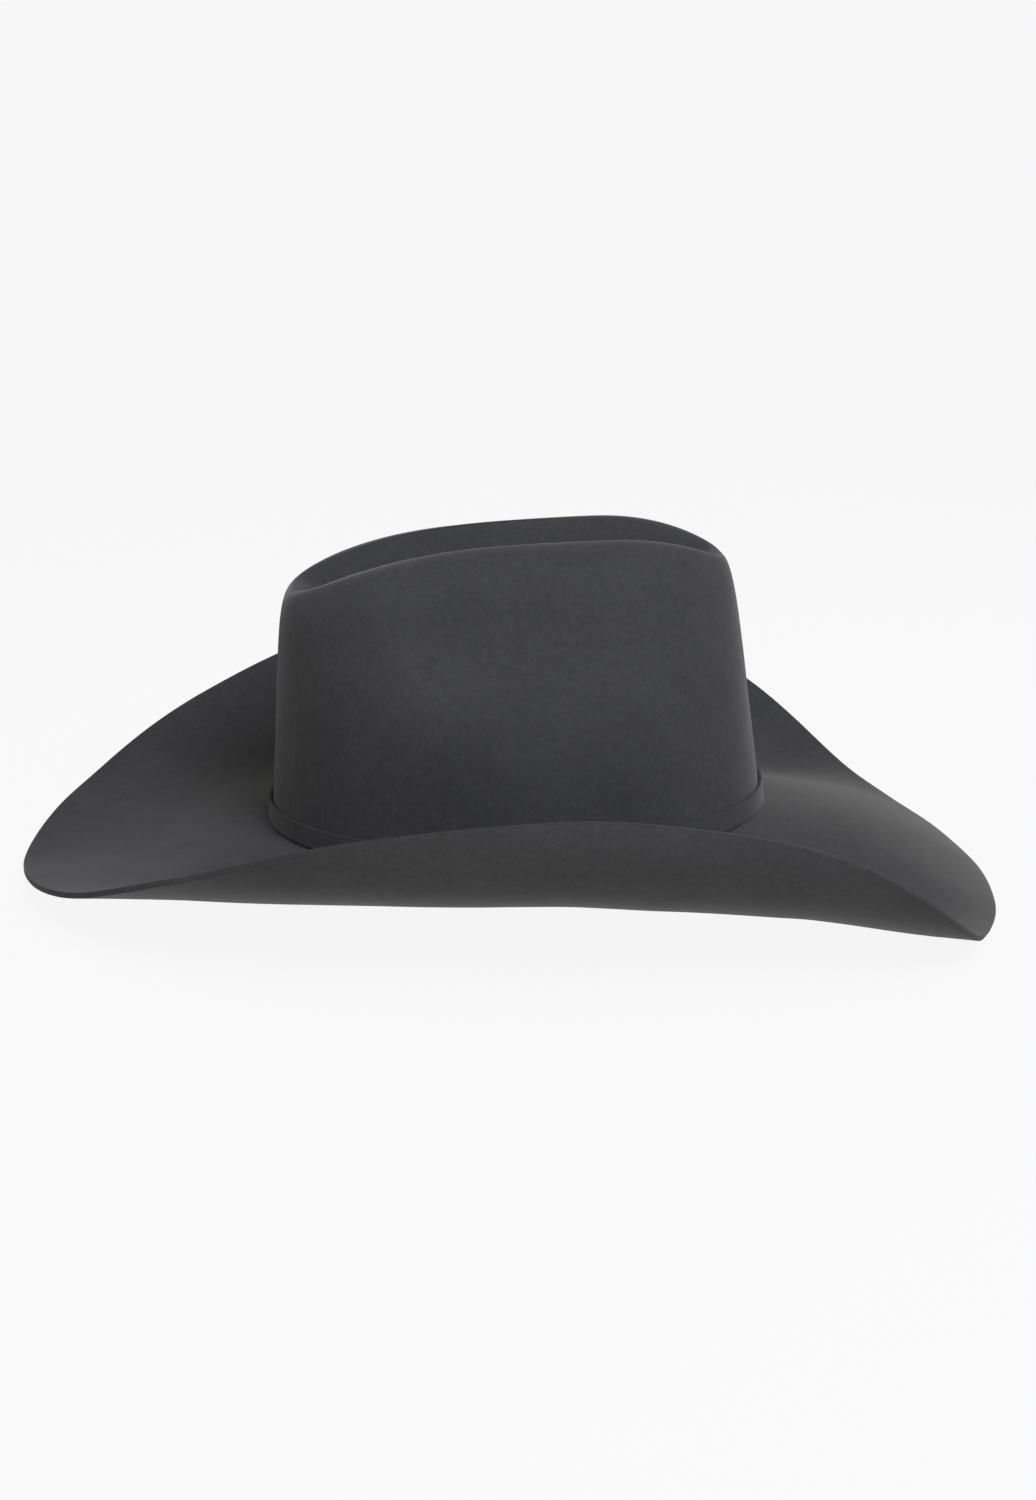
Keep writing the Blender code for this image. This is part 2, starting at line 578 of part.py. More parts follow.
def make_strap_tip(finish, hat):
    """A rounded metal cap over the free end of the strap."""
    turn = strap_turn(TIP_START_U + TIP_LENGTH / 2)
    normal = outward(turn)
    along = Vector((0, 0, 1)).cross(normal)
    frame = Matrix((along, Vector((0, 0, 1)), along.cross(Vector((0, 0, 1))))).transposed().to_4x4()
    frame.translation = strap_place(turn, FREE_END_STANDOFF, STRAP_CENTRE_Z)
    outline = bpy.data.curves.new("strap_tip", "CURVE")
    outline.dimensions = "2D"
    outline.fill_mode = "BOTH"
    outline.extrude = TIP_THICKNESS / 2
    spline = outline.splines.new("POLY")
    points = [(-TIP_LENGTH / 2, -TIP_HALF_WIDTH)]
    for step in range(9):
        angle = -math.pi / 2 + math.pi * step / 8
        points.append((TIP_LENGTH / 2 - TIP_HALF_WIDTH * (1 - math.cos(angle)), TIP_HALF_WIDTH * math.sin(angle)))
    points.append((-TIP_LENGTH / 2, TIP_HALF_WIDTH))
    spline.points.add(len(points) - 1)
    for knot, (x, y) in zip(spline.points, points):
        knot.co = (x, y, 0, 1)
    spline.use_cyclic_u = True
    guide = bpy.data.objects.new("strap_tip_outline", outline)
    hat["cutters"].objects.link(guide)
    bpy.context.view_layer.update()
    mesh = bpy.data.meshes.new_from_object(guide.evaluated_get(bpy.context.evaluated_depsgraph_get()))
    bpy.data.objects.remove(guide)
    work = bmesh.new()
    work.from_mesh(mesh)
    bmesh.ops.remove_doubles(work, verts=work.verts, dist=0.00001)
    bmesh.ops.recalc_face_normals(work, faces=work.faces)
    work.to_mesh(mesh)
    work.free()
    tip = mesh_object("strap_tip", mesh, finish, hat)
    tip.matrix_local = frame
    depth = FREE_END_U - TIP_START_U + GAP
    pocket = bpy.data.meshes.new("strap_tip_pocket")
    work = bmesh.new()
    size = Matrix.Diagonal((2 * depth, 2 * (STRAP_END_HALF_WIDTH + GAP), STRAP + 2 * (GAP + TIP_PLAY), 1.0))
    bmesh.ops.create_cube(work, size=1.0, matrix=Matrix.Translation((-TIP_LENGTH / 2, 0, 0)) @ size)
    work.to_mesh(pocket)
    work.free()
    cutter = bpy.data.objects.new("strap_tip_pocket", pocket)
    hat["cutters"].objects.link(cutter)
    cutter.parent = hat["set_down"]
    cutter.matrix_local = frame
    cutter.hide_render = True
    cutter.display_type = "WIRE"
    cut = tip.modifiers.new("pocket", "BOOLEAN")
    cut.object = cutter


def set_down(felt, hat):
    """Tilt and lift the hat so that it stands on the front and back dips of its brim."""
    bpy.context.view_layer.update()
    shape = felt.evaluated_get(bpy.context.evaluated_depsgraph_get()).to_mesh()
    points = [vertex.co.copy() for vertex in shape.vertices]
    tilt = 0.0
    for _ in range(8):
        turned = [(Matrix.Rotation(tilt, 3, "Y") @ point, point) for point in points]
        front = min((pair for pair in turned if pair[1].x > 0), key=lambda pair: pair[0].z)[0]
        back = min((pair for pair in turned if pair[1].x < 0), key=lambda pair: pair[0].z)[0]
        tilt += math.atan2(front.z - back.z, front.x - back.x)
    turned = [Matrix.Rotation(tilt, 3, "Y") @ point for point in points]
    middle_x = (max(p.x for p in turned) + min(p.x for p in turned)) / 2
    hat["set_down"].rotation_euler = (0.0, tilt, 0.0)
    hat["set_down"].location = (-middle_x, 0.0, -min(p.z for p in turned))


def main():
    for old in list(bpy.data.objects):
        bpy.data.objects.remove(old)
    hat = {"parts": bpy.data.collections.new("cowboy_hat"), "cutters": bpy.data.collections.new("cutters")}
    for group in (hat["parts"], hat["cutters"]):
        bpy.context.scene.collection.children.link(group)
    hat["set_down"] = bpy.data.objects.new("hat_set_down", None)
    hat["parts"].objects.link(hat["set_down"])
    finishes = {
        "felt": material("charcoal_felt", (0.051, 0.053, 0.058), 0.95),
        "strap": material("self_felt_strap", (0.045, 0.047, 0.052), 0.95),
        "metal": material("nickel", (0.62, 0.61, 0.58), 0.28, 1.0),
        "leather": material("sweatband_leather", (0.055, 0.038, 0.028), 0.5),
        "tape": material("cotton_tape", (0.04, 0.04, 0.042), 0.9),
        "reed": material("reed_plastic", (0.6, 0.58, 0.5), 0.4),
        "ribbon": material("bow_ribbon", (0.03, 0.03, 0.033), 0.6),
        "satin": material("lining_satin", (0.45, 0.43, 0.4), 0.35),
        "paper": material("label_paper", (0.75, 0.73, 0.68), 0.8),
    }
    felt = make_felt_body(finishes["felt"], hat)
    make_strap(finishes["strap"], hat)
    make_buckle(finishes["metal"], hat)
    make_sweatband(finishes, hat)
    make_lining(finishes, hat)
    set_down(felt, hat)


main()
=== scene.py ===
"""The cowboy hat's final surfaces: fur felt, self-felt band, nickel buckle, leather sweatband, satin lining.

Every shape is built in the hat's own frame, in metres: +X to the front, +Y to the wearer's left, +Z up,
with z = 0 where the brim breaks away from the crown. The head opening's mount in the record says where that
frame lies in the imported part's frame.
"""

import json
import math

import bmesh
import bpy
import numpy as np
from mathutils import Matrix, Vector, noise


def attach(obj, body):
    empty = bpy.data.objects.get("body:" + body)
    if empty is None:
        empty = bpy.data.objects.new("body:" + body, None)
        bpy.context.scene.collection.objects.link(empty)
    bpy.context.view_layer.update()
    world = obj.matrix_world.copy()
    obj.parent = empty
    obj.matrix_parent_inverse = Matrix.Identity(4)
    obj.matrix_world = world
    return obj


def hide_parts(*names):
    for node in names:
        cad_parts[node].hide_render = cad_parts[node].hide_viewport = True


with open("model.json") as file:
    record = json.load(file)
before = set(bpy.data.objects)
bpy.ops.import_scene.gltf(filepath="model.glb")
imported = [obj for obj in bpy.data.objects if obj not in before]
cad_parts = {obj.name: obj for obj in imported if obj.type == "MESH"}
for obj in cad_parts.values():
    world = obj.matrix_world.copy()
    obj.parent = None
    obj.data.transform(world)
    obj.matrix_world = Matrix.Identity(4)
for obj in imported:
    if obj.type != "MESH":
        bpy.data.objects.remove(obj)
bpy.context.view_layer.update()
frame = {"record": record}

MM = 0.001
FULL = 2 * math.pi

# The hat's sizes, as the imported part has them.
HEAD_HALF_LENGTH = 106 * MM
HEAD_HALF_WIDTH = 87 * MM
CREST_HALF_LENGTH = 89 * MM
CREST_HALF_WIDTH = 28.5 * MM
CREST_ROUNDNESS = 4.0
CREST_PEAK_X = 38 * MM
CREST_PEAK_Z = 120 * MM
CREST_DROP_FRONT = 12 * MM
CREST_DROP_BACK = 19 * MM
CREST_POWER_FRONT = 2.2
CREST_POWER_BACK = 3.4
WALL_TAPERS = (0.71, 0.1, 0.51)  # front, sides, back
WALL_CORNERS = (7.5, 2.6, 12.0)
WALL_ROUNDINGS = (2.1, 1.9, 3.0)
DENT_DEPTH = 13 * MM
DENT_X = -6 * MM
DENT_Z = 88 * MM
DENT_HALF_LENGTH = 58 * MM
DENT_HALF_HEIGHT = 22 * MM
CREASE_DEPTH = 26 * MM
CREASE_END_SHARE = 0.45
CREASE_HALF_LENGTH = 74 * MM
FELT = 2.5 * MM
BRIM_WIDTH = 107 * MM
BRIM_BEND_POWER = 1.72
# Degrees from the front, slope at the crown, slope at the edge, width in mm.
BRIM_STATIONS = (
    (0, -11.9, -38.4, 107),
    (20, -13.8, -30.7, 108),
    (35, -20.5, -8, 111),
    (45, -24.2, 18.5, 117.5),
    (60, -20.1, 68.9, 116.5),
    (75, -10.6, 86.7, 112),
    (90, -2.4, 85.4, 109),
    (110, -1.1, 69.9, 107.5),
    (130, -3.4, 40.9, 104),
    (150, -4.8, 11.8, 103.5),
    (165, -7.3, 3.5, 105),
    (180, -8.3, -1.4, 107),
)
STRAP = 1.2 * MM
STRAP_HALF_WIDTH = 4.1 * MM
STRAP_END_HALF_WIDTH = 3.2 * MM
STRAP_CENTRE_Z = 5.6 * MM
STRAP_STANDOFF = 1.1 * MM
BAR_RADIUS = 0.8 * MM
BAR_STANDOFF = 3 * MM
BUCKLE_FRONT_U = -8 * MM
BUCKLE_HEEL_U = 7 * MM
BUCKLE_HALF_HEIGHT = 4.4 * MM
BUCKLE_CORNER = 1.8 * MM
PRONG_TIP_U = -9.2 * MM
PRONG_TIP_STANDOFF = 4.75 * MM
KEEPER_U = 30 * MM
TIP_START_U = 41 * MM
TIP_LENGTH = 13 * MM
TIP_HALF_WIDTH = 4.1 * MM
FREE_END_STANDOFF = 3.5 * MM
SWEATBAND_INSET = 4.6 * MM
SWEATBAND_TOP = 48 * MM
LEATHER = 1.1 * MM
TAPE_INSET = 3.2 * MM
TAPE_TOP = 12 * MM
REED_RADIUS = 1 * MM
REED_INSET = 5 * MM
REED_Z = -1.3 * MM
ROLL_RADIUS = 1.62 * MM
LINING_INSET = 3.4 * MM
LINING_SEAM_RISE = 0.84
TIP_LINING_INSET = 4.8 * MM
PIPING_RADIUS = 1 * MM
PIPING_INSET = 4.1 * MM
BOW_Z = 9 * MM
BOW_STANDOFF = 2.2 * MM

opening = frame["record"]["mounts"][0]
TILT = math.atan2(-opening["axis"][0], -opening["axis"][2])
SET_DOWN = Matrix.Translation(opening["pos_m"]) @ Matrix.Rotation(TILT, 4, "Y")


# Shape functions over arrays of directions

def mix(a, b, share):
    return a + (b - a) * share


def turns(count, start=0.0, end=FULL):
    """Directions round the hat. A full ring leaves out its last one, which is its first."""
    full = end - start > FULL - 0.001
    return np.linspace(start, end, count, endpoint=not full)


def all_round(values, turn):
    front, sides, back = values
    return mix(mix(back, front, (1 + np.cos(turn)) / 2), sides, np.sin(turn) ** 2)


def break_line(turn):
    return np.stack([HEAD_HALF_LENGTH * np.cos(turn), HEAD_HALF_WIDTH * np.sin(turn), 0 * turn], -1)


def outward(turn):
    """The level direction square to the crown at its base."""
    normal = np.stack([np.cos(turn) / HEAD_HALF_LENGTH, np.sin(turn) / HEAD_HALF_WIDTH, 0 * turn], -1)
    return normal / np.linalg.norm(normal, axis=-1, keepdims=True)


def crest_height(x):
    away = x - CREST_PEAK_X
    front = np.maximum(away, 0) / (CREST_HALF_LENGTH - CREST_PEAK_X)
    back = np.maximum(-away, 0) / (CREST_HALF_LENGTH + CREST_PEAK_X)
    return (CREST_PEAK_Z - CREST_DROP_FRONT * front ** CREST_POWER_FRONT
            - CREST_DROP_BACK * back ** CREST_POWER_BACK)


def crest_line(turn):
    along = np.cos(turn)
    side = np.maximum(0, 1 - np.abs(along) ** CREST_ROUNDNESS) ** (1 / CREST_ROUNDNESS)
    x = CREST_HALF_LENGTH * along
    return np.stack([x, np.sign(np.sin(turn)) * CREST_HALF_WIDTH * side, crest_height(x)], -1)


def wall(turn, rise):
    """The crown's outer wall; rise runs from 0 at the brim to 1 on the crest."""
    taper = all_round(WALL_TAPERS, turn)
    over = np.maximum(0, 1 - rise ** all_round(WALL_CORNERS, turn))
    lean = taper * rise + (1 - taper) * (1 - over ** (1 / all_round(WALL_ROUNDINGS, turn)))
    crest = crest_line(turn)
    point = mix(break_line(turn), crest, lean[..., None])
    point[..., 2] = crest[..., 2] * rise
    along = (point[..., 0] - DENT_X) / DENT_HALF_LENGTH
    up = (point[..., 2] - DENT_Z) / DENT_HALF_HEIGHT
    dent = DENT_DEPTH * np.exp(-along ** 2 - up ** 2) * np.sin(turn) ** 2
    point[..., 1] -= np.sign(point[..., 1]) * dent
    return point


def crease(turn, inward):
    """The crease; inward runs from 0 on the crest to 1 on its floor line."""
    crest = crest_line(turn)
    along = np.cos(turn)
    x = CREASE_HALF_LENGTH * along
    floor_z = crest_height(x) - CREASE_DEPTH * mix(1.0, CREASE_END_SHARE, along ** 4)
    floor = np.stack([x, 0 * x, floor_z], -1)
    point = mix(crest, floor, inward)
    point[..., 2] = mix(crest[..., 2], floor_z, (1 - math.cos(math.pi * inward)) / 2)
    return point


def crown(turn, place):
    """The crown's outer face: place 0 to 1 climbs the wall, 1 to 2 goes down into the crease."""
    return wall(turn, np.full_like(turn, place)) if place <= 1 else crease(turn, place - 1)


NORMAL_STEP = 0.004  # of the way up the crown
NORMAL_TURN = 0.02  # radians
LAST_NORMAL_PLACE = 1.97  # the faces meet beyond it


def crown_inset(turn, place, depth):
    """The crown's outer face moved in by depth."""
    above = crown(turn, min(LAST_NORMAL_PLACE, place + NORMAL_STEP))
    climb = above - crown(turn, max(0.0, place - NORMAL_STEP))
    sweep = crown(turn + NORMAL_TURN, place) - crown(turn - NORMAL_TURN, place)
    normal = np.cross(sweep, climb)
    face = crown(turn, place)
    point = face - normal / np.linalg.norm(normal, axis=-1, keepdims=True) * depth
    if place > 1:
        crossed = point[..., 1] * face[..., 1] < face[..., 1] ** 2
        point[..., 1] = np.where(crossed, face[..., 1], point[..., 1])
    return point


def lower_wall(turn, z, inset):
    """The crown's wall at height z, moved in along the level."""
    point = wall(turn, np.maximum(0, z / crest_line(turn)[..., 2])) - outward(turn) * inset
    point[..., 2] = z
    return point


def station_values(turn, column):
    """A smooth curve through one column of BRIM_STATIONS, the same on both sides of the hat."""
    normal = outward(turn)
    angle = np.abs(np.degrees(np.arctan2(normal[..., 1], normal[..., 0])))
    half = [(station[0], station[column]) for station in BRIM_STATIONS]
    ring = np.array([(-half[1][0], half[1][1])] + half + [(360 - half[-2][0], half[-2][1])])
    place = np.clip(np.searchsorted(ring[1:-1, 0], angle), 1, len(half) - 1)
    x0, x1, x2, x3 = (ring[place + i, 0] for i in (-1, 0, 1, 2))
    y0, y1, y2, y3 = (ring[place + i, 1] for i in (-1, 0, 1, 2))
    start = (y2 - y0) / (x2 - x0) * (x2 - x1)
    end = (y3 - y1) / (x3 - x1) * (x2 - x1)
    t = (angle - x1) / (x2 - x1)
    return ((2 * t ** 3 - 3 * t ** 2 + 1) * y1 + (t ** 3 - 2 * t ** 2 + t) * start
            + (3 * t ** 2 - 2 * t ** 3) * y2 + (t ** 3 - t ** 2) * end)


BRIM_STEPS = 200


def brim_rows(turn, shares):
    """The brim's upper face at shares of its width, with its slopes added up from the crown outwards."""
    steps = BRIM_STEPS
    inner, outer, width = (station_values(turn, column) for column in (1, 2, 3))
    middles = (np.arange(steps) + 0.5) / steps
    slope = np.radians(mix(inner[:, None], outer[:, None], middles ** BRIM_BEND_POWER))
    lengths = (width * MM / steps)[:, None]
    run = np.concatenate([0 * lengths, np.cumsum(np.cos(slope) * lengths, 1)], 1)
    rise = np.concatenate([0 * lengths, np.cumsum(np.sin(slope) * lengths, 1)], 1)
    marks = np.arange(steps + 1) / steps
    rows = []
    for share in shares:
        out = np.array([np.interp(share, marks, line) for line in run])
        up = np.array([np.interp(share, marks, line) for line in rise])
        rows.append(break_line(turn) + outward(turn) * out[:, None] + np.stack([0 * up, 0 * up, up], -1))
    return rows


# Mesh helpers

def piece(name, mesh, finish, nodes, body="hat"):
    """Link a mesh that is in the hat's frame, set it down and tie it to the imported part."""
    mesh.transform(SET_DOWN)
    made = bpy.data.objects.new(name, mesh)
    bpy.context.scene.collection.objects.link(made)
    for one in finish if isinstance(finish, tuple) else (finish,):
        mesh.materials.append(one)
    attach(made, body)
    if nodes:
        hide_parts(*nodes)
    return made


def grid_mesh(name, rows, closed, skip=(), loop_rows=False):
    """Quads over rows of points. skip names the (row, column) quads that are left open."""
    rows = np.asarray(rows)
    count, width = rows.shape[:2]
    faces = []
    for i in range(count if loop_rows else count - 1):
        after = (i + 1) % count
        for j in range(width if closed else width - 1):
            if (i, j) not in skip:
                k = (j + 1) % width
                faces.append((i * width + j, i * width + k, after * width + k, after * width + j))
    mesh = bpy.data.meshes.new(name)
    mesh.from_pydata(rows.reshape(-1, 3).tolist(), [], faces)
    weld(mesh)
    mesh.shade_smooth()
    return mesh


WELD_REACH = 0.004 * MM


def weld(mesh, reach=WELD_REACH):
    """Join points that coincide, and turn the faces outwards."""
    work = bmesh.new()
    work.from_mesh(mesh)
    bmesh.ops.remove_doubles(work, verts=work.verts, dist=reach)
    bmesh.ops.recalc_face_normals(work, faces=work.faces)
    work.to_mesh(mesh)
    work.free()


ROUNDED_EDGE_ANGLE = math.radians(50)


def thicken(made, thickness, edge=0.0, segments=2, offset=0.0, even=True):
    """Give an open sheet its thickness, and round its cut edges."""
    shell = made.modifiers.new("thickness", "SOLIDIFY")
    shell.thickness = thickness
    shell.offset = offset
    shell.use_even_offset = even
    if edge:
        rounding = made.modifiers.new("edge", "BEVEL")
        rounding.width = edge
        rounding.segments = segments
        rounding.angle_limit = ROUNDED_EDGE_ANGLE
    return made


# Each ring of a rod's domed end: its share of the radius, and how far out it is in radii.
DOME = ((0.8, 0.6), (0.45, 0.9), (0.001, 1.0))
NEARLY_UPRIGHT = 0.1


def rod_mesh(name, points, radii, closed=False, sides=12):
    """A round rod along points, with a radius for each one. Open ends are domed."""
    points = [Vector(p) for p in points]
    count = len(points)
    radii = [radii] * count if isinstance(radii, float) else radii
    rings = []
    across = None
    for i, point in enumerate(points):
        after = points[(i + 1) % count] if closed or i < count - 1 else point
        before = points[i - 1] if closed or i else point
        along = (after - before).normalized()
        if across is None:
            across = along.cross(Vector((0, 0, 1)))
            if across.length < NEARLY_UPRIGHT:
                across = along.cross(Vector((1, 0, 0)))
        across = (across - along * across.dot(along)).normalized()
        other = along.cross(across)
        rings.append([point + (across * math.cos(FULL * k / sides)
                               + other * math.sin(FULL * k / sides)) * radii[i]
                      for k in range(sides)])
    if not closed:
        for end, inner in ((0, 1), (-1, -2)):
            tip = (points[end] - points[inner]).normalized() * radii[end]
            dome = [[mix(points[end], p, shrink) + tip * push for p in rings[end]]
                    for shrink, push in DOME]
            rings = dome[::-1] + rings if end == 0 else rings + dome
    return grid_mesh(name, [[tuple(p) for p in ring] for ring in rings], True, loop_rows=closed)


def loft_mesh(name, rows, caps):
    """Quads round closed rows of points, with the rows named in caps filled in."""
    work = bmesh.new()
    loops = [[work.verts.new(p) for p in row] for row in rows]
    for low, high in zip(loops, loops[1:]):
        for j in range(len(low)):
            k = (j + 1) % len(low)
            work.faces.new((low[j], low[k], high[k], high[j]))
    for cap in caps:
        work.faces.new(loops[cap])
    mesh = bpy.data.meshes.new(name)
    work.to_mesh(mesh)
    work.free()
    weld(mesh, 0.0)
    mesh.shade_smooth()
    return mesh


def sharpen(made, degrees):
    """Show edges that bend by more than this as sharp."""
    made.data.set_sharp_from_angle(angle=math.radians(degrees))


def smooth_path(points, per_span):
    """A Catmull-Rom curve through rows of numbers."""
    points = np.asarray(points, float)
    padded = np.concatenate([2 * points[:1] - points[1:2], points, 2 * points[-1:] - points[-2:-1]])
    out = []
    for i in range(len(points) - 1):
        a, b, c, d = padded[i:i + 4]
        for t in np.arange(per_span) / per_span:
            out.append(0.5 * (2 * b + (c - a) * t + (2 * a - 5 * b + 4 * c - d) * t ** 2
                              + (3 * b - a - 3 * c + d) * t ** 3))
    out.append(points[-1])
    return np.array(out)


def ripple(point, scale, seed):
    """Smooth noise from -1 to 1 at a point, with features of about 1/scale metres."""
    return noise.noise(Vector(point) * scale + Vector((seed, seed * 1.7, 0)))


# A stitch's rings: how far along its length, and the share of its radius.
STITCH_RINGS = ((-0.5, 0.35), (-0.38, 0.9), (0.0, 1.1), (0.38, 0.9), (0.5, 0.35))
STITCH_SIDES = 6


def stitches(name, centres, alongs, length, radius):
    """Short lengths of thread, one at each centre."""
    vertices, faces = [], []
    for centre, along in zip(centres, alongs):
        first = len(vertices)
        along = Vector(along).normalized()
        side = along.orthogonal().normalized()
        up = along.cross(side)
        for shift, size in STITCH_RINGS:
            for k in range(STITCH_SIDES):
                angle = FULL * k / STITCH_SIDES
                vertices.append(Vector(centre) + along * length * shift
                                + (side * math.cos(angle) + up * math.sin(angle)) * radius * size)
        last = len(vertices) - STITCH_SIDES
        for start in range(first, last, STITCH_SIDES):
            for k in range(STITCH_SIDES):
                a = start + k
                b = start + (k + 1) % STITCH_SIDES
                faces.append((a, b, b + STITCH_SIDES, a + STITCH_SIDES))
        faces.append(tuple(range(first, first + STITCH_SIDES)))
        faces.append(tuple(range(last, len(vertices))))
    mesh = bpy.data.meshes.new(name)
    mesh.from_pydata([tuple(v) for v in vertices], [], faces)
    weld(mesh, 0.0)
    mesh.shade_smooth()
    return piece(name, mesh, thread, ())


# Materials

class Nodes:
    """A node tree, built a few nodes at a time."""

    def __init__(self, tree, coordinates):
        self.tree = tree
        self.place = self.add("ShaderNodeTexCoord").outputs[coordinates]

    def add(self, kind, **values):
        node = self.tree.nodes.new(kind)
        for key, value in values.items():
            setattr(node, key, value)
        return node

    def link(self, source, target):
        self.tree.links.new(source, target)

    def scaled(self, scale, turn=(0, 0, 0)):
        """The place, turned and stretched, for a grain that runs one way."""
        node = self.add("ShaderNodeMapping")
        node.inputs["Scale"].default_value = scale
        node.inputs["Rotation"].default_value = turn
        self.link(self.place, node.inputs["Vector"])
        return node.outputs["Vector"]

    def noise(self, scale, detail=3.0, rough=0.5, place=None, distortion=0.0):
        node = self.add("ShaderNodeTexNoise")
        node.inputs["Scale"].default_value = scale
        node.inputs["Detail"].default_value = detail
        node.inputs["Roughness"].default_value = rough
        node.inputs["Distortion"].default_value = distortion
        self.link(place or self.place, node.inputs["Vector"])
        return node.outputs["Fac"]

    def cells(self, scale):
        node = self.add("ShaderNodeTexVoronoi", feature="F1")
        node.inputs["Scale"].default_value = scale
        self.link(self.place, node.inputs["Vector"])
        return node.outputs["Distance"]

    def wave(self, scale, direction):
        node = self.add("ShaderNodeTexWave", bands_direction=direction)
        node.inputs["Scale"].default_value = scale
        self.link(self.place, node.inputs["Vector"])
        return node.outputs["Fac"]

    def span(self, source, low, high, to_low=0.0, to_high=1.0):
        node = self.add("ShaderNodeMapRange")
        ends = {"From Min": low, "From Max": high, "To Min": to_low, "To Max": to_high}
        for socket, value in ends.items():
            node.inputs[socket].default_value = value
        self.link(source, node.inputs["Value"])
        return node.outputs["Result"]

    def sum(self, a, b, operation="ADD"):
        node = self.add("ShaderNodeMath", operation=operation)
        for socket, value in zip(node.inputs, (a, b)):
            if isinstance(value, (int, float)):
                socket.default_value = value
            else:
                self.link(value, socket)
        return node.outputs["Value"]

    def blend(self, share, a, b, **values):
        """A colour between a and b, each of them a colour or a socket."""
        node = self.add("ShaderNodeMix", data_type="RGBA", **values)
        if isinstance(share, (int, float)):
            node.inputs["Factor"].default_value = share
        else:
            self.link(share, node.inputs["Factor"])
        for socket, value in ((node.inputs[6], a), (node.inputs[7], b)):
            if isinstance(value, tuple):
                socket.default_value = (*value, 1.0)
            else:
                self.link(value, socket)
        return node.outputs[2]

    def toned(self, colour, tone):
        """A colour made lighter or darker by a tone."""
        return self.blend(1.0, colour, tone, blend_type="MULTIPLY")

    def times(self, a, b):
        return self.sum(a, b, "MULTIPLY")


class Finish(Nodes):
    """A material with a Principled shader."""

    def __init__(self, name, colour, roughness, **sockets):
        self.material = bpy.data.materials.new(name)
        self.material.use_nodes = True
        self.material.diffuse_color = (*colour, 1.0)
        super().__init__(self.material.node_tree, "Object")
        self.shader = self.tree.nodes["Principled BSDF"]
        self.shader.inputs["Base Color"].default_value = (*colour, 1.0)
        self.shader.inputs["Roughness"].default_value = roughness
        for socket, value in sockets.items():
            self.shader.inputs[socket.replace("_", " ")].default_value = value

    def colour(self, source):
        self.link(source, self.shader.inputs["Base Color"])

    def rough(self, source):
        self.link(source, self.shader.inputs["Roughness"])

    def bumps(self, *layers):
        """Bump from (height socket, depth in metres) layers, one on another."""
        normal = None
        for height, depth in layers:
            node = self.add("ShaderNodeBump")
            node.inputs["Distance"].default_value = depth
            self.link(height, node.inputs["Height"])
            if normal:
                self.link(normal, node.inputs["Normal"])
            normal = node.outputs["Normal"]
        self.link(normal, self.shader.inputs["Normal"])


def shade(colour, factor):
    return tuple(channel * factor for channel in colour)


SHEEN_TINT = (0.8, 0.8, 0.82, 1.0)
PALE_HAIR = (0.3, 0.3, 0.31)
FIBRE_SCALE = (5200, 900, 5200)
FIBRE_TURNS = ((0.3, 0.2, 0.5), (1.1, 0.7, 2.1), (0.4, 1.9, 1.2))


def felt_finish(name, colour, nap=1.0, sheen=0.26):
    """Brushed fur felt: clouds of tone, a fine mottle, short fibres lying all ways, a few pale hairs."""
    made = Finish(name, colour, 0.92, Sheen_Weight=sheen, Sheen_Roughness=0.33,
                  Specular_IOR_Level=0.13, Sheen_Tint=SHEEN_TINT)
    clouds = made.span(made.noise(26, 4, 0.55), 0.3, 0.7, 0.91, 1.09)
    mottle = made.span(made.noise(420, 3, 0.6), 0.25, 0.75, 1 - 0.13 * nap, 1 + 0.13 * nap)
    fibres = None
    for turn in FIBRE_TURNS:
        strand = made.noise(1.0, 2, 0.5, made.scaled(FIBRE_SCALE, turn), 0.6)
        fibres = made.sum(fibres, strand, "MAXIMUM") if fibres else strand
    strands = made.span(fibres, 0.45, 0.75, 1 - 0.12 * nap, 1 + 0.16 * nap)
    base = made.toned(colour, made.times(made.times(clouds, mottle), strands))
    hair = made.span(made.cells(230), 0.05, 0.02)
    stray = made.span(made.noise(90, 1, 0.5), 0.66, 0.7)
    made.colour(made.blend(made.times(made.times(hair, stray), 0.5), base, PALE_HAIR))
    made.bumps((made.noise(160, 3, 0.5), 0.06 * MM * nap), (fibres, 0.09 * MM * nap))
    return made.material


def leather_finish(name, colour):
    """Smooth lining leather: pores, fine creases and a soft shine that varies."""
    made = Finish(name, colour, 0.42, Specular_IOR_Level=0.45, Coat_Weight=0.08, Coat_Roughness=0.3)
    pores = made.cells(1500)
    creases = made.noise(620, 5, 0.65, None, 0.8)
    clouds = made.span(made.noise(45, 3, 0.5), 0.3, 0.7, 0.82, 1.15)
    made.colour(made.toned(colour, made.times(clouds, made.span(creases, 0.3, 0.7, 0.88, 1.1))))
    made.rough(made.span(creases, 0.3, 0.7, 0.36, 0.5))
    made.bumps((creases, 0.05 * MM), (pores, 0.04 * MM))
    return made.material


def satin_finish(name, colour):
    """Satin: a very fine weave, glossy along its long floats."""
    made = Finish(name, colour, 0.34, Specular_IOR_Level=0.6, Anisotropic=0.5, Sheen_Weight=0.35,
                  Sheen_Roughness=0.3)
    threads = made.times(made.wave(1400, "Z"), made.wave(1100, "DIAGONAL"))
    drift = made.noise(30, 3, 0.5)
    made.colour(made.blend(made.span(drift, 0.3, 0.7), shade(colour, 0.86), shade(colour, 1.1)))
    made.rough(made.span(drift, 0.3, 0.7, 0.28, 0.42))
    made.bumps((made.noise(120, 3, 0.5), 0.12 * MM), (threads, 0.03 * MM))
    return made.material


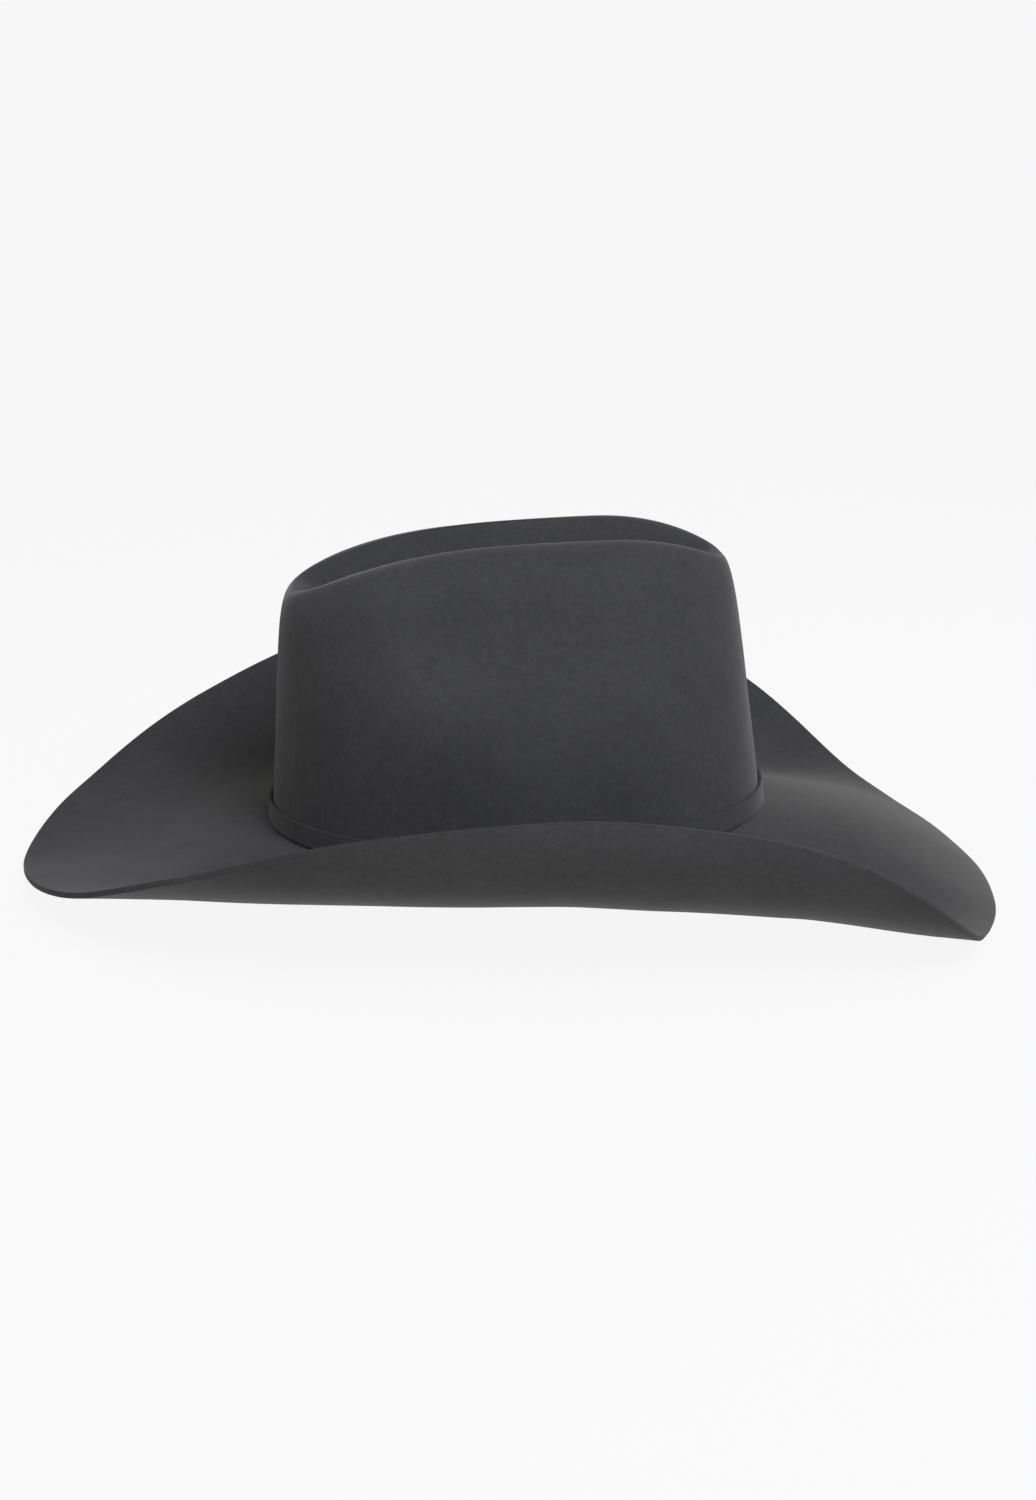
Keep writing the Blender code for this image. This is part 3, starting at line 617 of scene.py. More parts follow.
def ribbon_finish(name, colour, scale):
    """Grosgrain ribbon or tape: fine ribs with a soft shine."""
    made = Finish(name, colour, 0.62, Specular_IOR_Level=0.35, Sheen_Weight=0.25, Sheen_Roughness=0.4)
    ribs = made.wave(scale, "DIAGONAL")
    fuzz = made.noise(1500, 3, 0.6)
    made.colour(made.blend(ribs, shade(colour, 0.75), shade(colour, 1.2)))
    made.rough(made.span(fuzz, 0.3, 0.7, 0.55, 0.75))
    made.bumps((ribs, 0.12 * MM), (fuzz, 0.03 * MM))
    return made.material


def metal_finish(name, colour):
    """Satin-polished nickel: fine brushing and faint handling marks."""
    made = Finish(name, colour, 0.25, Metallic=1.0)
    brushed = made.noise(1.0, 4, 0.6, made.scaled((300, 300, 9000)))
    marks = made.noise(420, 4, 0.6)
    made.colour(made.blend(made.span(marks, 0.35, 0.75), colour, shade(colour, 0.82)))
    made.rough(made.span(marks, 0.3, 0.7, 0.18, 0.34))
    made.bumps((brushed, 0.004 * MM), (marks, 0.01 * MM))
    return made.material


def plain_finish(name, colour, roughness, grain, depth, **sockets):
    """Plastic, thread or paper: one colour with a little grain."""
    made = Finish(name, colour, roughness, **sockets)
    speckle = made.noise(grain, 4, 0.6)
    made.colour(made.blend(made.span(speckle, 0.3, 0.7), shade(colour, 0.85), shade(colour, 1.12)))
    made.bumps((speckle, depth))
    return made.material


FELT_COLOUR = (0.037, 0.0369, 0.0361)
felt = felt_finish("charcoal_felt", FELT_COLOUR)
# The cut edge's felt is darker than the felt: partly the rough cut felt itself, partly painted shade that
# dims the light its upward-facing face would catch.
shaded_cut_felt = felt_finish("cut_felt_edge_painted_shade", shade(FELT_COLOUR, 0.86), 1.5, 0.1)
strap_felt = felt_finish("strap_felt", FELT_COLOUR, 0.8)
nickel = metal_finish("satin_nickel", (0.62, 0.60, 0.56))
leather = leather_finish("sweatband_leather", (0.055, 0.036, 0.026))
tape_weave = ribbon_finish("cotton_tape", (0.04, 0.04, 0.042), 700)
ribbon = ribbon_finish("bow_ribbon", (0.022, 0.022, 0.025), 900)
satin = satin_finish("lining_satin", (0.34, 0.33, 0.32))
piping_satin = satin_finish("piping_satin", (0.2, 0.195, 0.19))
thread = plain_finish("black_thread", (0.035, 0.033, 0.032), 0.6, 3000, 0.03 * MM,
                      Sheen_Weight=0.3)
reed_plastic = plain_finish("reed_plastic", (0.5, 0.48, 0.42), 0.35, 500, 0.01 * MM)
paper = plain_finish("label_paper", (0.72, 0.7, 0.65), 0.8, 900, 0.02 * MM)


# The felt body

FELT_AROUND = 300
CREASE_ROWS = 21
CREASE_CROWDING = 0.9  # powers that crowd rows towards the crest
WALL_ROWS = 69
WALL_CROWDING = 2.1
BREAK_ROWS = 8
BREAK_REACH = 3.2 * MM  # the felt turns from crown to brim over this length each way
BREAK_GAP = 0.006  # of the crown's height, between the break and the wall's lowest row
BRIM_ROWS = 62
EDGE_ROUNDING = 0.55 * MM


def felt_rows():
    """The felt's upper face, from the crease's floor over the crest and down to the brim's edge."""
    turn = turns(FELT_AROUND)
    inwards = 1 - np.linspace(0, 1, CREASE_ROWS, endpoint=False) ** CREASE_CROWDING
    rows = [crease(turn, inward) for inward in inwards]
    rises = 1 - np.linspace(0, 1, WALL_ROWS, endpoint=False) ** WALL_CROWDING
    lowest = BREAK_REACH / CREST_PEAK_Z + BREAK_GAP
    rows += [wall(turn, np.full_like(turn, rise)) for rise in rises if rise > lowest]
    shares = np.linspace(BREAK_REACH / BRIM_WIDTH, 1 - EDGE_ROUNDING / BRIM_WIDTH, BRIM_ROWS)
    brim = brim_rows(turn, shares)
    foot = lower_wall(turn, BREAK_REACH, 0.0)
    middle = break_line(turn)
    for t in np.linspace(0, 1, BREAK_ROWS):
        rows.append((1 - t) ** 2 * foot + 2 * t * (1 - t) * middle + t ** 2 * brim[0])
    return np.array(rows + brim[1:])


def row_normals(rows):
    """Outward normals of a closed grid of rows."""
    down = np.gradient(rows, axis=0)
    around = np.roll(rows, -1, 1) - np.roll(rows, 1, 1)
    normal = np.cross(down, around)
    normal[0, :, 1] = 0.0
    return normal / np.maximum(np.linalg.norm(normal, axis=-1, keepdims=True), 1e-12)


BROAD_WAVER = (22, 3.0)  # features per metre, seed of the noise
FINE_WAVER = (70, 8.0)
BROAD_WAVER_DEPTH = 0.16  # mm
FINE_WAVER_DEPTH = 0.07
BRIM_WAVER = 0.5  # mm more for each crown radius beyond the start
BRIM_WAVER_START = 1.15  # crown radii


def waver(rows, normals):
    """Blocking by hand leaves the felt a little uneven, most of all along the brim."""
    out = rows.copy()
    for i in range(rows.shape[0]):
        for j in range(rows.shape[1]):
            point = rows[i, j]
            radii = math.hypot(point[0] / HEAD_HALF_LENGTH, point[1] / HEAD_HALF_WIDTH)
            depth = BROAD_WAVER_DEPTH + BRIM_WAVER * max(0.0, radii - BRIM_WAVER_START)
            lift = ripple(point, *BROAD_WAVER) * depth + ripple(point, *FINE_WAVER) * FINE_WAVER_DEPTH
            out[i, j] = point + normals[i, j] * lift * MM
    return out


UPPER_ROUND = (25, 50, 75, 90)  # degrees round the brim's upper corner
LOWER_ROUND = (65, 40, 15)
EDGE_FACE_ROWS = 5
MEETING_REACH = 0.2 * MM  # the crease's two sides meet under its floor within this reach


def make_felt():
    """The felt body: its upper face, its rounded cut edge and its under face in one skin."""
    rows = felt_rows()
    rows = waver(rows, row_normals(rows))
    normals = row_normals(rows)
    reach = rows[-1] - rows[-2]
    reach /= np.linalg.norm(reach, axis=-1, keepdims=True)

    def edge_row(out, down):
        return rows[-1] + reach * out - normals[-1] * down

    edge = []
    for angle in np.radians(UPPER_ROUND):
        edge.append(edge_row(EDGE_ROUNDING * math.sin(angle), EDGE_ROUNDING * (1 - math.cos(angle))))
    for depth in np.linspace(EDGE_ROUNDING, FELT - EDGE_ROUNDING, EDGE_FACE_ROWS)[1:]:
        edge.append(edge_row(EDGE_ROUNDING, depth))
    for angle in np.radians(LOWER_ROUND):
        edge.append(edge_row(EDGE_ROUNDING * math.sin(angle),
                             FELT - EDGE_ROUNDING * (1 - math.cos(angle))))
    under = (rows - normals * FELT)[::-1]
    under[..., 1] = np.where(np.abs(under[..., 1]) < MEETING_REACH, 0, under[..., 1])
    under[-1, :, 1] = 0.0
    mesh = grid_mesh("felt_body_fine", np.concatenate([rows, np.array(edge), under]), True)
    first = (len(rows) + 1) * FELT_AROUND
    last = first + (len(edge) - 2) * FELT_AROUND
    # The cut edge's rows take the darker cut-edge felt, which holds painted shade.
    for face in mesh.polygons:
        if first <= face.index < last:
            face.material_index = 1
    piece("felt_hat", mesh, (felt, shaded_cut_felt), ("felt_body",))


# The hatband

# Places along the strap: u in mm along the hat's left side, standoff in mm, and 1 where it is slotted.
FOLDED_END = ((22, 2.9, 0), (16, 3.1, 0), (11, 4.2, 1))
UNDER_RUN = ((11, 1.2, 0), (17, 1.3, 0), (23, 1.4, 0), (30, 2.2, 0), (37, 1.4, 0), (56, 1.1, 0))
FREE_END = ((-16, 1.1, 0), (-9, 1.1, 0), (-5, 1.5, 1), (-2, 2.7, 1), (1, 4.4, 1), (4, 5.9, 1),
            (6.5, 6.35, 0), (9, 6.3, 0), (13, 5.7, 0), (18, 4.8, 0), (24, 4.4, 0), (30, 3.9, 0),
            (37, 3.5, 0), (50, 3.5, 0))
WRAP_ANGLES = range(90, 271, 30)
WRAP_GAP = 0.4 * MM  # between the heel bar and the strap
ROUND_START_U = 70 * MM
ROUND_END_U = -28 * MM
ROUND_PLACES = 42
PLACES_PER_SPAN = 5


def strap_turn(u):
    """Direction of a place u along the left side of the crown, towards the back."""
    return math.pi / 2 + u / HEAD_HALF_LENGTH


def side_point(turn, standoff, z):
    turn = np.atleast_1d(np.asarray(turn, float))
    return (break_line(turn) + outward(turn) * standoff + np.array([0, 0, z]))[0]


def strap_path():
    """Rows of direction, standoff, half width and slot share, from the folded end to the free end."""
    def end_place(u, standoff, slot, lap=0.0):
        return strap_turn(u * MM) + lap, standoff * MM, STRAP_END_HALF_WIDTH, slot

    path = [end_place(*place) for place in FOLDED_END]
    bend = BAR_RADIUS + WRAP_GAP + STRAP / 2
    for wrap in np.radians(WRAP_ANGLES):
        path.append((strap_turn(BUCKLE_HEEL_U + bend * math.cos(wrap)),
                     BAR_STANDOFF + bend * math.sin(wrap), STRAP_END_HALF_WIDTH, 1))
    path += [end_place(*place) for place in UNDER_RUN]
    for turn in np.linspace(strap_turn(ROUND_START_U), strap_turn(ROUND_END_U) + FULL, ROUND_PLACES):
        path.append((turn, STRAP_STANDOFF, STRAP_HALF_WIDTH, 0))
    path += [end_place(*place, FULL) for place in FREE_END]
    return smooth_path(path, PLACES_PER_SPAN)


SLOT_LEVELS = (1.3 * MM, 0.45 * MM)
SLOT_COLUMNS = (3, 4, 5)
EDGE_COLUMN = 0.4 * MM  # in from the strap's edge
MIDDLE_COLUMN = 0.62  # of the half width
STRAP_ROUNDING = 0.22 * MM
STRAP_STITCHES_U = (16.2 * MM, 19.4 * MM)
STRAP_STITCHES_Z = np.arange(-2.4, 2.5, 1.2) * MM
STITCH_STANDOFF = 2.95 * MM


def make_strap():
    """The self-felt strap, folded round the buckle's bar, with its free end through the buckle and keeper."""
    rows, skip = [], set()
    for i, (turn, standoff, half, slot) in enumerate(strap_path()):
        lean = (half - STRAP_END_HALF_WIDTH) / (STRAP_HALF_WIDTH - STRAP_END_HALF_WIDTH)
        lean = min(1, max(0, lean))
        above = [half, half - EDGE_COLUMN, half * MIDDLE_COLUMN, *SLOT_LEVELS]
        row = []
        for level in above + [-level for level in reversed(above)]:
            z = STRAP_CENTRE_Z + level
            leaning = lower_wall(np.array([turn]), z, -standoff)[0]
            row.append(mix(side_point(turn, standoff, z), leaning, lean))
        rows.append(row)
        if slot > 0.5:
            skip.update((i, column) for column in SLOT_COLUMNS)
    mesh = grid_mesh("hatband_strap_fine", rows, False, skip)
    made = piece("hatband_strap_fine", mesh, (strap_felt, shaded_cut_felt), ("hatband_strap",))
    # The strap's cut rim takes the darker cut-edge felt, which holds painted shade.
    thicken(made, STRAP, STRAP_ROUNDING, 3).modifiers["thickness"].material_offset_rim = 1
    places = [side_point(strap_turn(u), STITCH_STANDOFF + STRAP / 2, STRAP_CENTRE_Z + z)
              for u in STRAP_STITCHES_U for z in STRAP_STITCHES_Z]
    stitches("hatband_stitches", places, [(0, 0, 1)] * len(places), length=1.0 * MM, radius=0.14 * MM)


def buckle_point(u, standoff, z):
    return Vector((-u, HEAD_HALF_WIDTH + standoff, z))


def rounded_rectangle(low, high, half_height, corner, count):
    """Points round a rectangle from low to high across, with count points on each corner."""
    outline = []
    for i, (side, up) in enumerate(((high, 1), (low, 1), (low, -1), (high, -1))):
        centre = side - math.copysign(corner, side - (low + high) / 2)
        for angle in math.pi / 2 * (i + np.linspace(0, 1, count)):
            outline.append((centre + corner * math.cos(angle),
                            up * (half_height - corner) + corner * math.sin(angle)))
    return outline


# The prong's ring: radius and height round its section, in mm.
RING_SECTION = ((1.05, -0.7), (1.2, -0.9), (1.45, -0.9), (1.6, -0.7),
                (1.6, 0.7), (1.45, 0.9), (1.2, 0.9), (1.05, 0.7))
PIN_START = 1.35 * MM  # from the heel bar's middle
PIN_RADIUS = 0.66 * MM
PIN_TAPER = 0.2 * MM
PIN_BOW = 0.22 * MM


def make_buckle():
    """The frame, and the prong that turns on its heel bar."""
    outline = [buckle_point(u, BAR_STANDOFF, STRAP_CENTRE_Z + z) for u, z in rounded_rectangle(
        BUCKLE_FRONT_U, BUCKLE_HEEL_U, BUCKLE_HALF_HEIGHT, BUCKLE_CORNER, 9)]
    mesh = rod_mesh("buckle_frame_fine", outline, BAR_RADIUS, closed=True, sides=20)
    piece("buckle_frame_fine", mesh, nickel, ("buckle_frame",))
    heel = buckle_point(BUCKLE_HEEL_U, BAR_STANDOFF, STRAP_CENTRE_Z)
    tip = buckle_point(PRONG_TIP_U, PRONG_TIP_STANDOFF, STRAP_CENTRE_Z)
    rows = [[tuple(heel + Vector((math.cos(around) * radius, math.sin(around) * radius, z)) * MM)
             for radius, z in RING_SECTION] for around in turns(28)]
    mesh = grid_mesh("prong_ring", rows, True, loop_rows=True)
    sharpen(piece("prong_ring", mesh, nickel, (), body="prong"), 50)
    root = heel + (tip - heel).normalized() * PIN_START
    shares = np.linspace(0, 1, 18)
    line = [mix(root, tip, t) + Vector((0, 1, 0)) * PIN_BOW * math.sin(math.pi * t) for t in shares]
    radii = [PIN_RADIUS - PIN_TAPER * t ** 2 for t in shares]
    mesh = rod_mesh("prong_pin", line, radii, sides=16)
    piece("prong_pin", mesh, nickel, ("buckle_prong",), body="prong")


KEEPER_STANDOFF = 2.95 * MM
KEEPER_HALF_HEIGHT = 3.75 * MM
KEEPER_HALF_DEPTH = 2.2 * MM
KEEPER_HALF_WIDTH = 1.75 * MM
KEEPER_CORNER = 0.9 * MM
KEEPER_SWELL = 0.12 * MM
KEEPER_SHEET = 0.5 * MM


def make_keeper():
    """A flat loop round the strap and its free end."""
    turn = strap_turn(KEEPER_U)
    middle = side_point(turn, KEEPER_STANDOFF, STRAP_CENTRE_Z)
    normal = outward(np.array([turn]))[0]
    along = np.cross(normal, (0, 0, 1))
    section = rounded_rectangle(-KEEPER_HALF_DEPTH, KEEPER_HALF_DEPTH, KEEPER_HALF_HEIGHT, KEEPER_CORNER, 7)
    rows = []
    for across in np.linspace(-1, 1, 9):
        swell = KEEPER_SWELL * (1 - across ** 2)
        rows.append([middle + normal * (out + math.copysign(swell, out)) + np.array([0, 0, z])
                     + along * across * KEEPER_HALF_WIDTH for out, z in section])
    mesh = grid_mesh("buckle_keeper_fine", rows, True)
    made = piece("buckle_keeper_fine", mesh, nickel, ("buckle_keeper",))
    thicken(made, KEEPER_SHEET, 0.12 * MM, 3)


# The cap's skin from its back to the middle of its face: distance out in mm, share of the outline.
TIP_SECTION = ((-1.2, 0.96), (-0.95, 1.0), (0.7, 1.0), (0.95, 0.97),
               (1.12, 0.91), (1.2, 0.8), (1.25, 0.5), (1.27, 0.02))
TIP_SHEET = 0.3 * MM


def make_strap_tip():
    """A domed metal cap over the strap's free end."""
    turn = strap_turn(TIP_START_U + TIP_LENGTH / 2)
    normal = Vector(outward(np.array([turn]))[0])
    along = Vector((0, 0, 1)).cross(normal)
    centre = Vector(side_point(turn, FREE_END_STANDOFF, STRAP_CENTRE_Z))
    outline = [(-TIP_LENGTH / 2, -TIP_HALF_WIDTH)]
    for angle in np.linspace(-math.pi / 2, math.pi / 2, 25):
        outline.append((TIP_LENGTH / 2 - TIP_HALF_WIDTH * (1 - math.cos(angle)),
                        TIP_HALF_WIDTH * math.sin(angle)))
    outline.append((-TIP_LENGTH / 2, TIP_HALF_WIDTH))
    rows = [[centre + along * x * share + Vector((0, 0, z * share)) + normal * out * MM
             for x, z in outline] for out, share in TIP_SECTION]
    mesh = loft_mesh("strap_tip_fine", rows, (-1,))
    made = piece("strap_tip_fine", mesh, nickel, ("strap_tip",))
    thicken(made, TIP_SHEET, offset=-1.0)
    sharpen(made, 40)


# Inside the crown

def ring_rows(heights, insets, count, wave=None, start=0.0, end=FULL):
    """Rows of a strip that lines the lower wall."""
    turn = turns(count, start, end)
    rows = []
    for i, (z, inset) in enumerate(zip(heights, insets)):
        row = lower_wall(turn, z, inset)
        if wave:
            depth = np.array([wave(one, i / (len(heights) - 1)) for one in turn])
            row -= outward(turn) * depth[:, None]
        rows.append(row)
    return rows


def tape_rows(top, foot, levels, count, start=0.0, end=FULL):
    """Rows of a flat strip that lies where the sweatband's tape does."""
    return ring_rows(np.linspace(top, foot, levels), [TAPE_INSET] * levels, count, None, start, end)


LEATHER_LEVELS = np.concatenate([[48, 47.2], np.linspace(45, 5, 24), [3.8, 2.6]]) * MM
LEATHER_SWAY = 0.35 * MM  # how far the middle of its height stands off the straight
LEATHER_AROUND = 300
LEATHER_ROUNDING = 0.3 * MM
ROLL_ANGLES = range(-30, 231, 20)  # degrees that the leather rolls round the reed
SEAM_HALF_GAP = 0.6 * MM
BROAD_SLACK = (3.2, 5.0)  # features, seed of the noise
FINE_SLACK = (14, 2.0)
BROAD_SLACK_DEPTH = 0.35 * MM
FINE_SLACK_DEPTH = 0.12 * MM
SLACK_HEIGHT = 0.35
SLACK_AT_TOP = 0.4
# Rows of stitches: name, height, how far they stand off the leather.
STITCH_ROWS = (("sweatband_stitches", 3.4 * MM, 0.04 * MM), ("sweatband_top_stitches", 45.6 * MM, 0.12 * MM))
STITCHES_FROM_SEAM = 0.02  # radians
TAPE_FOOT = -2.3 * MM
TAPE_AROUND = 220
TAPE_THICKNESS = 0.6 * MM
PATCH_HEIGHTS = (40.7 * MM, 12.3 * MM)
PATCH_HALF_WIDTH = 13 * MM
LABEL_HEIGHTS = (36 * MM, 20 * MM)
LABEL_START = 1.05 * math.pi / 2
LABEL_WIDTH = 24 * MM


def slack(turn, share):
    """How far the leather stands off at a direction and a share of its fall."""
    point = (math.cos(turn), math.sin(turn), share * SLACK_HEIGHT)
    broad = BROAD_SLACK_DEPTH * ripple(point, *BROAD_SLACK) * (SLACK_AT_TOP + share)
    return broad + FINE_SLACK_DEPTH * ripple(point, *FINE_SLACK) * share


def make_sweatband():
    """The leather band, stitched to its tape round a reed, with a sewn seam and bow at the back."""
    seam = SEAM_HALF_GAP / HEAD_HALF_WIDTH
    start, end = seam - math.pi, math.pi - seam
    fall = [(z, SWEATBAND_INSET + LEATHER_SWAY * math.sin(math.pi * z / SWEATBAND_TOP))
            for z in LEATHER_LEVELS]
    for angle in np.radians(ROLL_ANGLES):
        fall.append((REED_Z - ROLL_RADIUS * math.sin(angle), REED_INSET + ROLL_RADIUS * math.cos(angle)))
    heights, insets = zip(*fall)
    rows = ring_rows(heights, insets, LEATHER_AROUND, slack, start, end)
    mesh = grid_mesh("sweatband_leather", rows, False)
    made = piece("sweatband_leather", mesh, leather, ("sweatband",))
    thicken(made, LEATHER, LEATHER_ROUNDING, 3)
    turn = turns(186, start + STITCHES_FROM_SEAM, end - STITCHES_FROM_SEAM)
    for name, z, proud in STITCH_ROWS:
        depth = np.array([slack(one, 1 - z / SWEATBAND_TOP) for one in turn])
        points = lower_wall(turn, z, SWEATBAND_INSET + LEATHER / 2 + proud) - outward(turn) * depth[:, None]
        stitches(name, points, np.gradient(points, axis=0), length=2.1 * MM, radius=0.2 * MM)

    mesh = grid_mesh("sweatband_tape_fine", tape_rows(TAPE_TOP, TAPE_FOOT, 8, TAPE_AROUND), True)
    tape = piece("sweatband_tape_fine", mesh, tape_weave, ("sweatband_tape",))
    thicken(tape, TAPE_THICKNESS)
    turn = turns(TAPE_AROUND)
    ring = break_line(turn) - outward(turn) * REED_INSET + np.array([0, 0, REED_Z])
    mesh = rod_mesh("sweatband_reed_fine", ring, REED_RADIUS, closed=True, sides=16)
    piece("sweatband_reed_fine", mesh, reed_plastic, ("sweatband_reed",))

    half = PATCH_HALF_WIDTH / HEAD_HALF_WIDTH
    rows = tape_rows(*PATCH_HEIGHTS, 12, 24, math.pi - half, math.pi + half)
    mesh = grid_mesh("sweatband_patch_fine", rows, False)
    patch = piece("sweatband_patch_fine", mesh, leather, ("sweatband_patch",))
    thicken(patch, TAPE_THICKNESS, 0.15 * MM)
    rows = tape_rows(*LABEL_HEIGHTS, 8, 20, LABEL_START, LABEL_START + LABEL_WIDTH / HEAD_HALF_WIDTH)
    mesh = grid_mesh("size_label_fine", rows, False)
    label = piece("size_label_fine", mesh, paper, ("size_label",))
    thicken(label, 0.3 * MM)


# A loop of the bow from its knot and back, in mm: away from the knot, in from the leather.
BOW_LOOP = ((1.7, 0.2), (5, 0.0), (10, 0.0), (13, 0.3), (13.6, 1.2),
            (12.6, 2.1), (9, 2.3), (5, 2.1), (1.7, 1.4))
LOOP_HALF_HEIGHT = 3 * MM
LOOP_PINCH = 0.28  # share of its height that a loop loses at the knot
LOOP_PINCH_REACH = 2.6  # mm
LOOP_SWAY = 0.12 * MM
RIBBON = 0.42 * MM
KNOT_STANDOFF = 0.8 * MM
KNOT_HALF_SIZE = (1.3 * MM, 1.2 * MM, 3.5 * MM)
KNOT_WAIST = 0.82
KNOT_RIM = 0.86
KNOT_SQUARENESS = 0.6


def squared(value):
    """A sine or cosine, bent towards a rectangle's."""
    return math.copysign(abs(value) ** KNOT_SQUARENESS, value)


def make_bow():
    """The flat ribbon bow over the sweatband's seam."""
    face_x = -HEAD_HALF_LENGTH + SWEATBAND_INSET + LEATHER / 2 + BOW_STANDOFF
    back_radius = HEAD_HALF_WIDTH ** 2 / HEAD_HALF_LENGTH
    for side, name in ((-1, "bow_loop_right"), (1, "bow_loop_left")):
        rows = []
        for away, inward in smooth_path(BOW_LOOP, 5):
            pinch = 1 - LOOP_PINCH * math.exp(-(away / LOOP_PINCH_REACH) ** 2)
            x = face_x + inward * MM + (away * MM) ** 2 / (2 * back_radius)
            rows.append([(x + LOOP_SWAY * math.cos(3 * level), side * away * MM,
                          BOW_Z + LOOP_HALF_HEIGHT * level * pinch) for level in np.linspace(-1, 1, 9)])
        mesh = grid_mesh(name + "_fine", rows, False)
        made = piece(name + "_fine", mesh, ribbon, (name,))
        thicken(made, RIBBON, 0.08 * MM)
    deep, wide, high = KNOT_HALF_SIZE
    rows = []
    for z in np.linspace(-1, 1, 15):
        size = KNOT_WAIST + (1 - KNOT_WAIST) * z * z
        if abs(z) == 1:
            size *= KNOT_RIM
        rows.append([(face_x + KNOT_STANDOFF + deep * size * squared(math.cos(a)),
                      wide * size * squared(math.sin(a)), BOW_Z + high * z) for a in turns(28)])
    mesh = loft_mesh("bow_knot_fine", rows, (0, -1))
    sharpen(piece("bow_knot_fine", mesh, ribbon, ("bow_knot",)), 45)


LINING_AROUND = 320
LINING_SHEET = 0.4 * MM
LINING_GAP = 0.1 * MM
SEAM_MARGIN = 0.012  # of the crown's rise, between a panel's edge and the piping
SIDE_FOOT_PLACE = 0.5
SIDE_CLEARANCE = 4 * MM  # above the sweatband
SIDE_FOOT_HEIGHTS = np.linspace(49, 41.2, 5) * MM
BIG_FOLDS = 9
SMALL_FOLDS = 24
SMALL_FOLD_SHARE = 0.5
SIDE_SEED = 4.0
SIDE_GATHERS = 0.12  # mm
SEAM_GATHERS = 0.3
TIP_GATHERS = (11.0, 0.4)  # seed of the noise, mm
# Places on the crown that the tip's lining passes: 2 at the crease's floor, 1 at the crest.
TIP_PLACES = (2, 1.97, 1.8, 1.6, 1.4, 1.2, 1.0, 0.985, 0.96, 0.92, 0.88, LINING_SEAM_RISE + SEAM_MARGIN)
TIP_PLACES_PER_SPAN = 4


def gathers(turn, place, seed, amount):
    """Depth of the satin's folds at each direction."""
    folds = np.array([
        ripple((math.cos(one) * 1.2, math.sin(one), place * 0.6), BIG_FOLDS, seed)
        + SMALL_FOLD_SHARE * ripple((math.cos(one), math.sin(one), place), SMALL_FOLDS, seed + 2)
        for one in turn])
    return folds[:, None] * amount * MM


def make_lining():
    """Satin panel, gathered a little at its seam, the piping, and the tip that follows the crease."""
    turn = turns(LINING_AROUND)
    inset = LINING_INSET + LINING_GAP
    top = LINING_SEAM_RISE - SEAM_MARGIN
    rows = []
    for place in np.linspace(top, SIDE_FOOT_PLACE, 20):
        near_seam = (place - SIDE_FOOT_PLACE) / (top - SIDE_FOOT_PLACE)
        folds = gathers(turn, place, SIDE_SEED, SIDE_GATHERS + SEAM_GATHERS * near_seam ** 2)
        rows.append(crown_inset(turn, place, inset) - outward(turn) * folds)
    rows = [row for row in rows if row[:, 2].min() > SWEATBAND_TOP + SIDE_CLEARANCE]
    rows += ring_rows(SIDE_FOOT_HEIGHTS, [inset] * len(SIDE_FOOT_HEIGHTS), LINING_AROUND)
    mesh = grid_mesh("lining_side_fine", rows, True)
    side = piece("lining_side_fine", mesh, satin, ("lining_side",))
    thicken(side, LINING_SHEET, even=False)
    seam = crown_inset(turn, LINING_SEAM_RISE, PIPING_INSET)
    mesh = rod_mesh("lining_piping_fine", seam, PIPING_RADIUS, closed=True, sides=14)
    piece("lining_piping_fine", mesh, piping_satin, ("lining_piping",))

    floor = crease(turn, 1.0)
    floor[:, 2] -= TIP_LINING_INSET
    knots = [floor] + [crown_inset(turn, place, TIP_LINING_INSET) for place in TIP_PLACES[1:]]
    rows = smooth_path(np.array(knots).reshape(len(knots), -1), TIP_PLACES_PER_SPAN)
    rows = rows.reshape(-1, len(turn), 3)
    spans = np.arange(len(rows)) / TIP_PLACES_PER_SPAN
    for row, place in zip(rows, np.interp(spans, range(len(TIP_PLACES)), TIP_PLACES)):
        row[:, 2] -= np.abs(gathers(turn, place, *TIP_GATHERS))[:, 0] * min(1, abs(2 - place) * 3)
    mesh = grid_mesh("lining_tip_fine", rows, True)
    tip = piece("lining_tip_fine", mesh, satin, ("lining_tip",))
    thicken(tip, LINING_SHEET, even=False)


make_felt()
make_strap()
make_buckle()
make_keeper()
make_strap_tip()
make_sweatband()
make_bow()
make_lining()


# Floor, light and camera

BACKGROUND = 0.93
FLOOR_REACH = 30  # metres each way
FLOOR_ALBEDO = 0.04
FLOOR_GLOW = 0.9
FLOOR_FADE = (0.45, 1.3)  # metres from the hat
LAMPS = (  # degrees round from the front and up, watts, size, colour
    ("key", -65, 47, 62, 1.3, (0.82, 0.84, 1.0)),
    ("rim", 50, 10, 39, 2.4, (1.0, 0.95, 0.81)),
)
LAMP_DISTANCE = 2.2
LAMP_AIM = Vector((0, 0, 0.06))
FILLS = (((-1, 0, 0.35), 3, 0.91), ((0, 0, 1), 2, 0.32))  # direction, sharpness, strength
HORIZON = (0.1, 0.16)  # sines of the heights where the bright horizon ends
CAMERA_DISTANCE = 0.951
CAMERA_RISE = 0.2721  # radians above the hat's level
CAMERA_SWING = -0.0806  # towards the back of the hat
CAMERA_ROLL = -0.0293
CAMERA_TARGET = Vector((0, 0, 40 * MM))
SENSOR = 36.0
LENS = 52.95
LENS_SHIFT = (0.0024, -0.0234)


